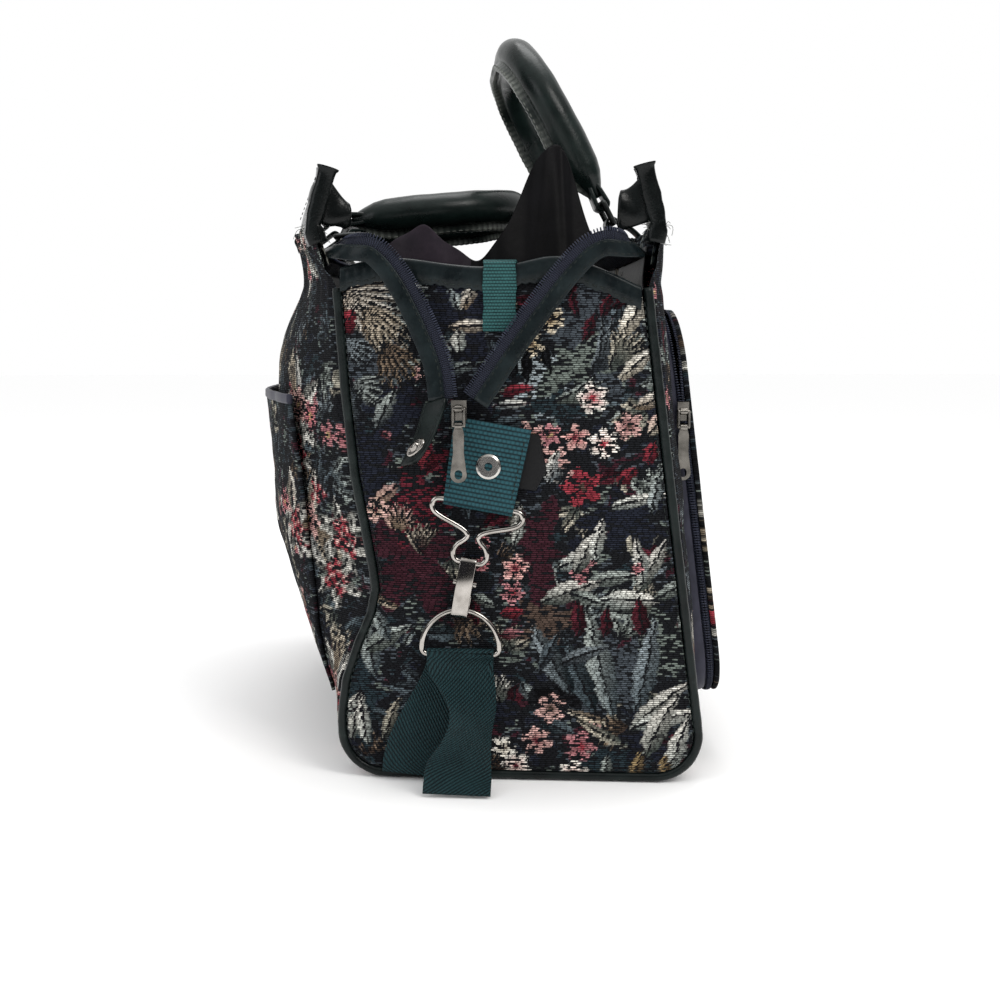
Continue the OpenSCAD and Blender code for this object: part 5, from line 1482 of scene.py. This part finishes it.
# the flap of lining that stands behind the near end: a low lobe and a high fold
def buildFlap():
    spec = {"columns": 128, "rows": 60, "thick": 1.2, "left": -94, "right": 44, "foot": 286,
            "lobe": (-62, 34, 28), "peak": (20, 84), "paintedSheenTo": -0.028}
    a = np.linspace(spec["left"], spec["right"], spec["columns"])
    t = np.linspace(0, 1, spec["rows"])
    gridA, gridT = np.meshgrid(a, t)
    (lobeAt, lobeHigh, lobeWide), (peakAt, peakHigh) = spec["lobe"], spec["peak"]
    height = 22 + lobeHigh * bump(gridA, lobeAt, lobeWide)
    height = height + peakHigh * bump(gridA, peakAt, np.where(gridA < peakAt, 30, 22))
    depth = 7.6 + 8 * gridT + 12 * gridT * bump(gridA, 24, 24) + 3 * gridT * np.sin(np.radians(9 * gridA))
    pleats = 3.2 * bump(gridA, 30 - 6 * gridT, 3.5) - 2.4 * bump(gridA, 4 + 10 * gridT, 5)
    depth += gridT * (1.6 * np.sin(gridA / 5.0 + 2 * gridT) + pleats)
    level = spec["foot"] + gridT * height + 1.2 * np.sin(gridA / 3.4) * gridT ** 6
    front = endPoint(-1, gridA, depth, level)
    back = endPoint(-1, gridA, depth + spec["thick"], level)
    n, m = front.shape[:2]
    points = np.concatenate([front.reshape(-1, 3), back.reshape(-1, 3)])
    faces = gridFaces(n, m) + gridFaces(n, m, flip=True, start=n * m)
    border = borderOf(n, m)
    for k in range(len(border)):
        p, q = border[k], border[(k + 1) % len(border)]
        faces.append([q, p, p + n * m, q + n * m])
    flap = makePiece("liningFlap", points, faces, liningDark, stands=["end_flap"])
    flap.data.materials.append(liningSheenCopy)
    # the lobe side of the flap takes the mauve copy as a painted sheen
    for polygon in flap.data.polygons:
        if polygon.center[0] < spec["paintedSheenTo"]:
            polygon.material_index = 1


buildFlap()
print("lining built")


# handles: a flat strap round each ring, then a rolled grip closed by a stitched fin
def buildHandle(side):
    spec = {"pivot": (71.888, -10.166, 351.853) if side > 0 else (-126.725, 15.041, 353.876),
            "lean": math.radians(-28 if side > 0 else 84), "rise": 136.0, "half": 75.0, "turn": 56.0,
            "thin": 12.4, "wide": 13.4, "strapWide": 20.0, "strapThick": 2.8, "stitch": 4.6}
    tag = sideNames[side]
    body = tag.lower() + "_handle"
    c, s = math.cos(spec["lean"]), math.sin(spec["lean"])
    pose = np.array([[c, 0, s], [0, 1, 0], [-s, 0, c]])

    def put(points):
        return np.array(spec["pivot"]) + np.asarray(points, float) @ pose.T

    foot = spec["rise"] - spec["turn"]
    leg = [(-spec["half"], z) for z in np.linspace(20, foot, 38)]
    bend = [(-spec["half"] + spec["turn"] * (1 - math.cos(q)), foot + spec["turn"] * math.sin(q))
            for q in np.linspace(0, math.pi / 2, 60)[1:]]
    half = leg + bend
    flat = spec["half"] - spec["turn"]
    middle = [(y, spec["rise"]) for y in np.linspace(-flat, flat, 26)[1:-1]]
    line = np.array(half + middle + [(-y, z) for y, z in half[::-1]])
    path = np.stack([np.zeros(len(line)), line[:, 0], line[:, 1]], -1)
    sideWay = np.cross(np.array([[1.0, 0, 0]]), tangents(path))
    run = along(path)
    inward = np.minimum(run, run[-1] - run)
    # the neck comes to a point over the first stretch
    full = np.interp(inward, [0, 4, 9, 15, 22, 30], [0.34, 0.46, 0.68, 0.88, 0.97, 1.0])
    thin = np.interp(inward, [0, 4, 9, 16, 24, 34], [0.28, 0.38, 0.58, 0.82, 0.95, 1.0])
    finAngles = [162, 167, 170, 172.5, 175, 177.5, 180, 182.5, 185, 187.5, 190, 193, 198]
    angle = np.radians(np.concatenate([np.arange(-156, 157, 6), finAngles]))
    count = len(angle)
    dx, dy = np.cos(angle), np.sin(angle)
    oval = 1 / np.hypot(dx / spec["thin"], dy / spec["wide"])
    off = np.abs(dy * oval)
    fin = np.where(dx < 0, np.clip((2.3 - off) / 0.9, 0, 1), 0.0)
    dip = np.where(dx < 0, np.exp(-((off - 3.6) / 1.6) ** 2), 0.0)
    rings = np.zeros((len(path), count, 3))
    wear = np.zeros((len(path), count))
    for i in range(len(path)):
        beat = 0.5 + 0.5 * math.sin(run[i] * 2 * math.pi / spec["stitch"])
        slack = 1 + 0.015 * math.sin(run[i] / 17.0) + 0.010 * math.sin(run[i] / 6.1)
        slack = slack + 0.006 * np.sin(run[i] / 3.3 + angle * 2)
        r = oval * slack + fin * (3.8 + 0.5 * beat) - dip * (0.9 + 0.5 * beat)
        rings[i] = path[i] + np.array([side * 1.0, 0, 0]) * (dx * r * thin[i])[:, None]
        rings[i] += sideWay[i] * (dy * r * full[i])[:, None]
        rub = 0.5 + 0.5 * math.sin(run[i] / 23.0 + 1.0) * math.sin(run[i] / 9.0)
        wear[i] = (0.55 * fin + 0.35 * dip) * (0.25 + 0.75 * beat) * rub * full[i]
    makePiece("grip" + tag, put(rings.reshape(-1, 3)), flipped(ringFaces(len(path), count), side < 0), handleLeather,
              body, ["handle_" + tag.lower()], tint=np.repeat(wear.reshape(-1, 1), 3, 1))
    lot = Lot()
    for way in (-1, 1):
        k = int(np.argmin(np.abs(angle - math.pi - way * math.radians(8.5))))
        row = put(rings[14:-14, k])
        other = int(np.argmin(np.abs(angle - math.pi + way * math.radians(10))))
        stitchRow(lot, row, unit(row - put(rings[14:-14, other])), 2.8, 1.8, 0.45, 0.3)
    lot.done("gripStitches" + tag, paleThread, "dark_leather", body)
    straps = Lot()
    wide, thick = spec["strapWide"] / 2, spec["strapThick"] / 2
    profile = slab(-wide, wide, -thick, thick, 1.0)
    way = [(2.2, 52), (2.0, 42), (2.2, 32), (3.2, 24)]
    way += [(3.9 * math.cos(q), 15 - 3.9 * math.sin(q)) for q in np.linspace(0, math.pi, 9)]
    way += [(-3.0, 24), (-2.2, 32), (-2.0, 42), (-2.0, 52)]
    path2 = spline([(x, z, 0) for x, z in way], 5)[:, :2]
    narrow = np.interp(path2[:, 1], [10, 24, 38, 52], [1.0, 0.9, 0.62, 0.4])
    for end in (-1, 1):
        ring = stripRings(path2, profile, (0, 2, 1), narrow) + np.array([0, end * spec["half"], 0])
        straps.add(put(ring.reshape(-1, 3)), ringFaces(len(path2), len(profile)))
    straps.done("gripStraps" + tag, handleLeather, "dark_leather", body)


buildHandle(-1)
buildHandle(1)
print("handles built")


# zipped pocket on the front side
pocket = {"length": 318.0, "bottom": 38.0, "top": 292.0, "corner": 36.0, "depth": 16.0, "dome": 12.0,
          "slider": 227.2, "coil": 19.2, "tooth": 1.7, "columns": 170}
pocketMiddle = (pocket["top"] + pocket["bottom"]) / 2
pocketHalf = (pocket["top"] - pocket["bottom"]) / 2


def pocketCut(z):
    d = np.maximum(0, np.maximum(pocket["bottom"] + pocket["corner"] - z, z - pocket["top"] + pocket["corner"]))
    return pocket["corner"] - np.sqrt(np.maximum(0, pocket["corner"] ** 2 - d * d))


def pocketPoint(s, z, out, inset):
    s, z, out = np.broadcast_arrays(np.asarray(s, float), np.asarray(z, float), np.asarray(out, float))
    h = (z - pocketMiddle) / pocketHalf
    a = shift(z) + halfWidth(z)
    y = s * (pocket["length"] / 2 - inset - pocketCut(z)) - a * sinR
    x = a * cosR + out + pocket["dome"] * (1 - s * s) * (1 - h * h)
    return np.stack([x, y, pocketMiddle + (z - pocketMiddle) * (1 - inset / pocketHalf)], -1)


def pocketRows():
    q = np.linspace(0, math.pi / 2, 14)
    low = pocket["bottom"] + pocket["corner"] * (1 - np.cos(q))
    straight = np.linspace(pocket["bottom"] + pocket["corner"], pocket["top"] - pocket["corner"], 96)[1:-1]
    return np.concatenate([low, straight, (pocket["top"] + pocket["bottom"] - low)[::-1]])


def pocketLoop():
    # round the outline: up the far edge, along the top, down the near edge, along the foot
    rows = pocketRows()
    top = np.linspace(1, -1, 60)[1:-1]
    s = np.concatenate([np.ones(len(rows)), top, -np.ones(len(rows)), -top])
    z = np.concatenate([rows, np.full(58, pocket["top"]), rows[::-1], np.full(58, pocket["bottom"])])
    return s, z


def buildPocket():
    s, z = pocketLoop()
    n = len(s)
    wallU = s * (pocket["length"] / 2 - pocketCut(z)) / halfLength
    wall = sideSurface(1, wallU, z)
    rows = []
    for f, bulge in ((0, 0), (0.15, 0.9), (0.4, 1.6), (0.7, 1.3), (0.9, 0.5), (1.0, 0.0)):
        rim = pocketPoint(s, z, pocket["depth"] + 0.4, -bulge)
        point = wall * (1 - f) + rim * f
        point[:, 0] += 0.3 * (1 - f)
        rows.append(point)
    makePiece("pocketGusset", np.array(rows), gridFaces(len(rows), n, wrap=True), gussetNylon,
              stands=["pocket_gusset"])
    # tape on both sides of the coil, with the coil open above the slider and along the top
    nearTop = np.where(s < -0.999, np.clip((z - pocket["slider"] - 4) / 26, 0, 1), 0.0)
    opened = np.where((z > pocket["top"] - 1) & (np.abs(s) < 0.999), 1.0, nearTop)
    opened = np.where((s > 0.999), np.clip((z - 262) / 26, 0, 1), opened)
    spread = 1.2 * opened
    tapes = []
    for low, high, inset in ((16.6, 18.5, 1.3), (19.9, 22.2, 1.3)):
        way = -1 if low < 17 else 1
        band = [pocketPoint(s, z, low + (spread if way > 0 else 0), inset),
                pocketPoint(s, z, (low + high) / 2, inset - 0.7),
                pocketPoint(s, z, high - (spread if way < 0 else 0), inset)]
        tapes.append(np.array(band))
    points = np.concatenate([t.reshape(-1, 3) for t in tapes])
    faces = gridFaces(3, n, wrap=True) + gridFaces(3, n, wrap=True, start=3 * n)
    uvLoop = along(wall)
    uv = np.concatenate([np.stack([np.full(n, k * 1.2), uvLoop], -1) for k in range(6)])
    makePiece("pocketTape", points, faces, zipCloth, stands=["pocket_zip"], uv=uv)
    back = Lot()
    centre = pocketPoint(s, z, pocket["coil"], 0.0)
    closedPath = np.concatenate([centre, centre[:1]])
    run = along(closedPath)
    opening = np.concatenate([spread, spread[:1]])
    outward = unit(pocketPoint(s, z, pocket["coil"], -1.0) - centre)
    outward = np.concatenate([outward, outward[:1]])
    for i in range(int(run[-1] / pocket["tooth"])):
        at = i * pocket["tooth"]
        p, o = pointAt(at, run, closedPath), pointAt(at, run, outward)
        gap = float(np.interp(at, run, opening))
        x = np.array([1.0, 0, 0])
        for way in (-1, 1):
            base = p + x * way * (1.9 + gap) + o * 0.2
            tip = p + x * way * (gap - 0.2) + o * 0.6
            back.bar(base, tip, 0.62, o, 1.0, 4)
    back.done("pocketCoil", coilNylon, "zip_nylon", stands=["pocket_coil"])
    rowsZ = pocketRows()
    gridS, gridZ = np.meshgrid(np.linspace(-1, 1, pocket["columns"]), rowsZ)
    y = gridS * (pocket["length"] / 2 - pocketCut(gridZ))
    keep = (1 - gridS ** 6) * (1 - ((gridZ - pocketMiddle) / pocketHalf) ** 6)
    front = pocketPoint(gridS, gridZ, 25.9, 0.4)
    front[..., 0] += keep * (1.0 * grainOf(y, gridZ, 77, 110) + 0.4 * grainOf(y, gridZ, 78, 40))
    k, m = front.shape[:2]
    border = borderOf(k, m)
    flatS, flatZ = gridS.ravel()[border], gridZ.ravel()[border]
    rims = [pocketPoint(flatS, flatZ, out, inset) for out, inset in ((25.3, -0.3), (23.9, -0.5), (22.5, 0.3))]
    points = np.concatenate([front.reshape(-1, 3)] + rims)
    faces = gridFaces(k, m)
    b = len(border)
    for i in range(b):
        j = (i + 1) % b
        faces.append([border[j], border[i], k * m + i, k * m + j])
        for start in (k * m, k * m + b):
            faces.append([start + j, start + i, start + b + i, start + b + j])
    mapU = np.concatenate([y.ravel()] + [y.ravel()[border] * 1.01] * 3)
    mapV = np.concatenate([gridZ.ravel()] + [gridZ.ravel()[border] * 1.004] * 3)
    makePiece("pocketCloth", points, faces, tapestry, stands=["pocket_front"],
              uv=np.stack([mapU, mapV], -1), tint=paintSide(mapU, mapV, 83))


buildPocket()


# slip pocket on the back side, its top edge standing off
def buildSlip():
    spec = {"reach": 0.76, "low": 42.0, "top": 234.0, "columns": 140, "rows": 92}
    u = np.linspace(spec["reach"], -spec["reach"], spec["columns"])
    z = np.linspace(spec["low"], spec["top"], spec["rows"])
    gridU, gridZ = np.meshgrid(u, z)
    f = (gridZ - spec["low"]) / (spec["top"] - spec["low"])
    y = gridU * halfLength
    stand = 3.0 + 6 * f ** 3 + f * (1.6 * np.sin(y / 24) * np.sin(math.pi * f) + 1.2 * bump(gridU, -0.76, 0.08))
    points = sideSurface(-1, gridU, gridZ)
    points[..., 0] -= stand
    piece = makePiece("slipCloth", points, gridFaces(spec["rows"], spec["columns"]), tapestry,
                      stands=["slip_pocket"], uv=np.stack([y, gridZ], -1),
                      tint=paintSide(y, gridZ, 97, [(-150, 150, 7)]))
    thicken(piece, 0.0022, -1.0)
    top = points[-1]
    profile = slab(-1.7, 1.7, -3.4, 3.0, 1.3)
    rings = np.zeros((len(u), len(profile), 3))
    rings[..., 0] = top[:, None, 0] + 1.0 + profile[None, :, 0]
    rings[..., 1] = top[:, None, 1]
    rings[..., 2] = top[:, None, 2] + 1.0 + profile[None, :, 1]
    makePiece("slipEdge", rings, ringFaces(len(u), len(profile)), gussetNylon, stands=["slip_binding"])


buildSlip()
print("pockets built")


# webbing tab that holds the strap clip, with its black backing
clip = {"across": -24.0, "out": -10.9, "foot": 174.0, "tilt": math.radians(10)}


def atClip(points, drop=0.0):
    p = np.asarray(points, float).reshape(-1, 3)
    x, y, z = p[:, 0], p[:, 1], p[:, 2] - drop
    c, s = math.cos(clip["tilt"]), math.sin(clip["tilt"])
    return endPoint(-1, clip["across"] + x * c + z * s, clip["out"] + y, clip["foot"] - x * s + z * c)


def buildClipTab():
    spec = {"width": 47.0, "thick": 1.6, "bore": 2.7}
    r = spec["bore"]
    line = [(1.2, 50), (0.4, 47), (-0.4, 36), (-1.8, 14), (-2.6, 4)]
    line += [(r * math.cos(q), r * math.sin(q)) for q in np.radians([190, 225, 270, 315, 350])]
    line += [(2.8, 6), (2.8, 20), (2.8, 36), (2.8, 50)]
    path2 = spline([(y, z, 0) for y, z in line], 6)[:, :2]
    profile = flatBand(spec["width"], spec["thick"])
    rings = stripRings(path2, profile, (1, 2, 0), np.interp(path2[:, 1], [-3, 50], [0.9, 1.0]), -1)
    path = np.concatenate([path2, np.zeros((len(path2), 1))], 1)
    makePiece("clipTab", atClip(rings), ringFaces(len(path2), len(profile)), webbing, stands=["clip_tab"],
              uv=sweptUv(path, profile))
    lot = Lot()
    for x in (-20.8, 20.8):
        run = np.array([[x * (0.9 + z * 0.002), -2.7 + 3.1 * z / 50 - 0.75, z] for z in np.linspace(6, 47, 40)])
        up = np.repeat(np.array([[0.0, -1.0, 0]]), 40, 0)
        stitchRow(lot, atClip(run), up, 2.6, 1.6, 0.4)
    lot.done("clipTabStitches", stitchThread, "webbing")
    outline = [(-20.5, 12), (32.5, 14), (36.5, 28), (28.5, 48), (-18.5, 46)]
    middle = np.mean(outline, 0)
    ring = []
    for depth, size in ((3.7, 0.985), (4.2, 1.0), (5.6, 1.0), (5.9, 0.985)):
        ring.append([(middle[0] + (x - middle[0]) * size, depth, middle[1] + (z - middle[1]) * size)
                     for x, z in outline])
    rings = atClip(np.array(ring)).reshape(4, 5, 3)
    patch = makePiece("clipPatch", rings, ringFaces(4, 5), patchCloth, stands=["clip_patch"], smooth=False)
    soften(patch, 0.0008)


buildClipTab()


# bent wire loop that joins the tab to the hook
def buildWire():
    spec = {"radius": 1.75, "sides": 14, "rings": 240}
    half = [(0, 0), (12, 0), (23.5, -0.2), (26.8, -1.6), (27.8, -4.8), (25.8, -8.4), (20.5, -11.2), (13, -13.8),
            (6.6, -16.4), (3.5, -19.2), (4.8, -22.4), (8.4, -25.6), (10.2, -29.4), (9.9, -33), (7.6, -35.6),
            (3.5, -36), (0, -36)]
    right = spline([(x, 0, z) for x, z in half], 8)
    loop = resample(np.concatenate([right, (right * np.array([-1, 1, 1]))[::-1][1:]]), spec["rings"] + 1)[:-1]
    place = atClip(loop).reshape(-1, 3)
    rings = tubeRings(place, spec["radius"], spec["sides"], up=np.array([sinR, cosR, 0.0]), closed=True)
    makePiece("omegaWire", rings, ringFaces(spec["rings"], spec["sides"], closed=True), nickel, "omega",
              ["clip_wire"])


buildWire()


# hook: one bent strip of plate, closed round the wire, with two lugs for the gate's pin
def buildHook():
    spec = {"drop": 36.0, "bore": 1.9, "plate": 1.6, "bend": 3.6, "width": 10.0, "reach": 28.0, "belly": 1.7,
            "lug": -13.0, "lugThick": 1.2}
    half = spec["plate"] / 2
    eye, turn = spec["bore"] + half, spec["bend"] + half
    foot = -spec["reach"] - 2
    line = [(eye * math.cos(q), eye * math.sin(q)) for q in np.radians(np.linspace(-168, 180, 40))]
    line += [(-eye - spec["belly"] * math.sin(math.pi * f), foot * f) for f in np.linspace(0, 1, 40)[1:]]
    middle = spec["bend"] - spec["bore"]
    lower = np.radians(np.linspace(180, 360, 26))[1:]
    line += [(middle + turn * math.cos(q), foot + turn * math.sin(q)) for q in lower]
    line += [(middle + turn, foot + z) for z in np.linspace(0, 8.9, 8)[1:]]
    profile = slab(-spec["width"] / 2, spec["width"] / 2, -half, half, half * 0.6)
    rings = stripRings(np.array(line), profile, (1, 2, 0))
    lot = Lot()
    lot.add(atClip(rings, spec["drop"]), flipped(ringFaces(len(line), len(profile))))
    edge = slab(-spec["bore"] - 0.5, 3.7 - spec["bore"], spec["lug"] - 3, spec["lug"] + 3, 1.6)
    for x in (-spec["width"] / 2, spec["width"] / 2 - spec["lugThick"]):
        lug = np.array([[(x + w, y, z) for y, z in edge] for w in (0.0, spec["lugThick"])])
        lot.add(atClip(lug, spec["drop"]), ringFaces(2, len(edge)))
    lot.done("hookPlate", nickel, "nickel", "clip_hook", ["hook"])


buildHook()


# strap folded over the bar of its ring, both tails down to the floor
def buildStrap():
    spec = {"width": 41.0, "thick": 1.6, "way": 2.75, "fall": 81.554, "twist": 56, "across": -35.478, "out": -9.2}
    way = spec["way"]
    line = [(-14.5 * (1 + math.cos(math.pi * t)), way + 0.6 - 1.6 * math.sin(math.pi * t),
             -(spec["fall"] - 4) * (1 - t)) for t in (0, 0.12, 0.3, 0.5, 0.7, 0.88, 0.95)]
    turn = [0.0] * 7
    line += [(0, way * math.cos(q), way * math.sin(q)) for q in np.radians(np.arange(0, 181, 30))]
    turn += [0.0] * 7
    for t in (0.06, 0.12, 0.2, 0.3, 0.4, 0.5, 0.6, 0.7, 0.8, 0.9, 1.0):
        twist = spec["twist"] * math.sin(math.pi * t ** 0.8) ** 1.3
        forward = -way - 0.6 - 3 * t - 22 * t ** 3 - 13 * math.sin(math.pi * t) ** 2
        line.append((20 * (1 - math.cos(math.radians(twist))), forward, -(spec["fall"] - 1.8) * t))
        turn.append(twist)
    path = spline(line, 10)
    angle = np.radians(spline([(v, 0, 0) for v in turn], 10)[:, 0])
    w = np.stack([np.cos(angle), np.sin(angle), np.zeros_like(angle)], -1)
    t = tangents(path)
    o = unit(np.cross(t, w))
    w = unit(np.cross(o, t))
    profile = flatBand(spec["width"], spec["thick"])
    local = sweepRings(path, w, o, profile)
    points = endPoint(-1, local[..., 0] + spec["across"], local[..., 1] + spec["out"],
                      np.maximum(0.05, local[..., 2] + spec["fall"]))
    makePiece("strapBand", points, ringFaces(len(path), len(profile)), strapCloth, "strap_end", ["strap"],
              uv=sweptUv(path, profile))


buildStrap()


# the other metal pieces and the board keep their solids
def dressSolids():
    for name, node in nodes.items():
        if node.hide_render:
            continue
        metal = {"base_board": board, "clip_socket": socketPlate}.get(name, nickel)
        if any(word in name for word in ("slider", "link", "pull")):
            metal = pullMetal
        if "ring" in name and "strap" not in name:
            metal = darkSnap
        node.data.materials.clear()
        node.data.materials.append(metal)
        if name != "base_board":
            soft = soften(node, 0.0003)
            soft.limit_method = "ANGLE"
            soft.angle_limit = math.radians(40)
        print("solid kept:", name)


dressSolids()


# floor, light and camera
def buildStage():
    spec = {"floor": 9.0, "lens": 51.1, "eye": (-0.05896, -1.07354, 0.27552), "pitch": -0.1153, "yaw": -0.0549}
    mesh = bpy.data.meshes.new("floor")
    h = spec["floor"]
    mesh.from_pydata([(-h, -h, 0), (h, -h, 0), (h, h, 0), (-h, h, 0)], [], [[0, 1, 2, 3]])
    floor = bpy.data.objects.new("floor", mesh)
    floor.location = (0, 0, -0.0005)
    scene.collection.objects.link(floor)
    material, tree, shader = startMaterial("whiteFloor")
    setFinish(tree, shader, (0.985, 0.985, 0.985, 1), 0.9, 0.0)
    mesh.materials.append(material)
    world = bpy.data.worlds.new("studio")
    scene.world = world
    world.use_nodes = True
    tree = world.node_tree
    back = tree.nodes["Background"]
    path = tree.nodes.new("ShaderNodeLightPath")
    seen = mathNode(tree, "MAXIMUM", path.outputs["Is Camera Ray"], path.outputs["Is Transmission Ray"])
    split = splitNode(tree, tree.nodes.new("ShaderNodeTexCoord").outputs["Generated"])
    # plated metal sees the white backdrop, and behind the camera a room that is dark up to head height
    high = rangeNode(tree, split[2], 0.3, 0.95)
    beyond = rangeNode(tree, split[1], 0.1, 0.5)
    studio = mixNode(tree, mathNode(tree, "MAXIMUM", high, beyond), (0.03, 0.03, 0.035, 1), (1.0, 1.0, 1.0, 1))
    sky = mixNode(tree, path.outputs["Is Glossy Ray"], (1.0, 1.0, 1.0, 1), studio)
    tree.links.new(mixNode(tree, seen, sky, (1, 1, 1, 1)), back.inputs["Color"])
    back.inputs["Strength"].default_value = 1.0
    for name, place, aim, size, power, colour in [
            ("keyLight", (0.8, -1.3, 1.5), (0, -0.1, 0.15), 0.7, 12, (1.0, 0.98, 0.95)),
            ("fillLight", (-1.3, -1.1, 0.9), (0, -0.1, 0.15), 0.8, 4, (0.95, 0.97, 1.0)),
            ("topLight", (0.1, 0.3, 1.8), (0, 0, 0.2), 0.9, 9, (1.0, 1.0, 1.0))]:
        light = bpy.data.lights.new(name, "AREA")
        light.size = size
        light.energy = power
        light.color = colour
        lamp = bpy.data.objects.new(name, light)
        lamp.location = place
        aimWay = np.array(aim) - np.array(place)
        tilt = math.acos(-aimWay[2] / np.linalg.norm(aimWay))
        lamp.rotation_euler = (tilt, 0, math.atan2(aimWay[1], aimWay[0]) - math.pi / 2)
        scene.collection.objects.link(lamp)
    lens = bpy.data.cameras.new("camera")
    lens.lens = spec["lens"]
    lens.sensor_width = 36.0
    camera = bpy.data.objects.new("camera", lens)
    camera.location = spec["eye"]
    camera.rotation_euler = (math.pi / 2 + spec["pitch"], 0, spec["yaw"])
    scene.collection.objects.link(camera)
    scene.camera = camera


buildStage()
print("stage built")
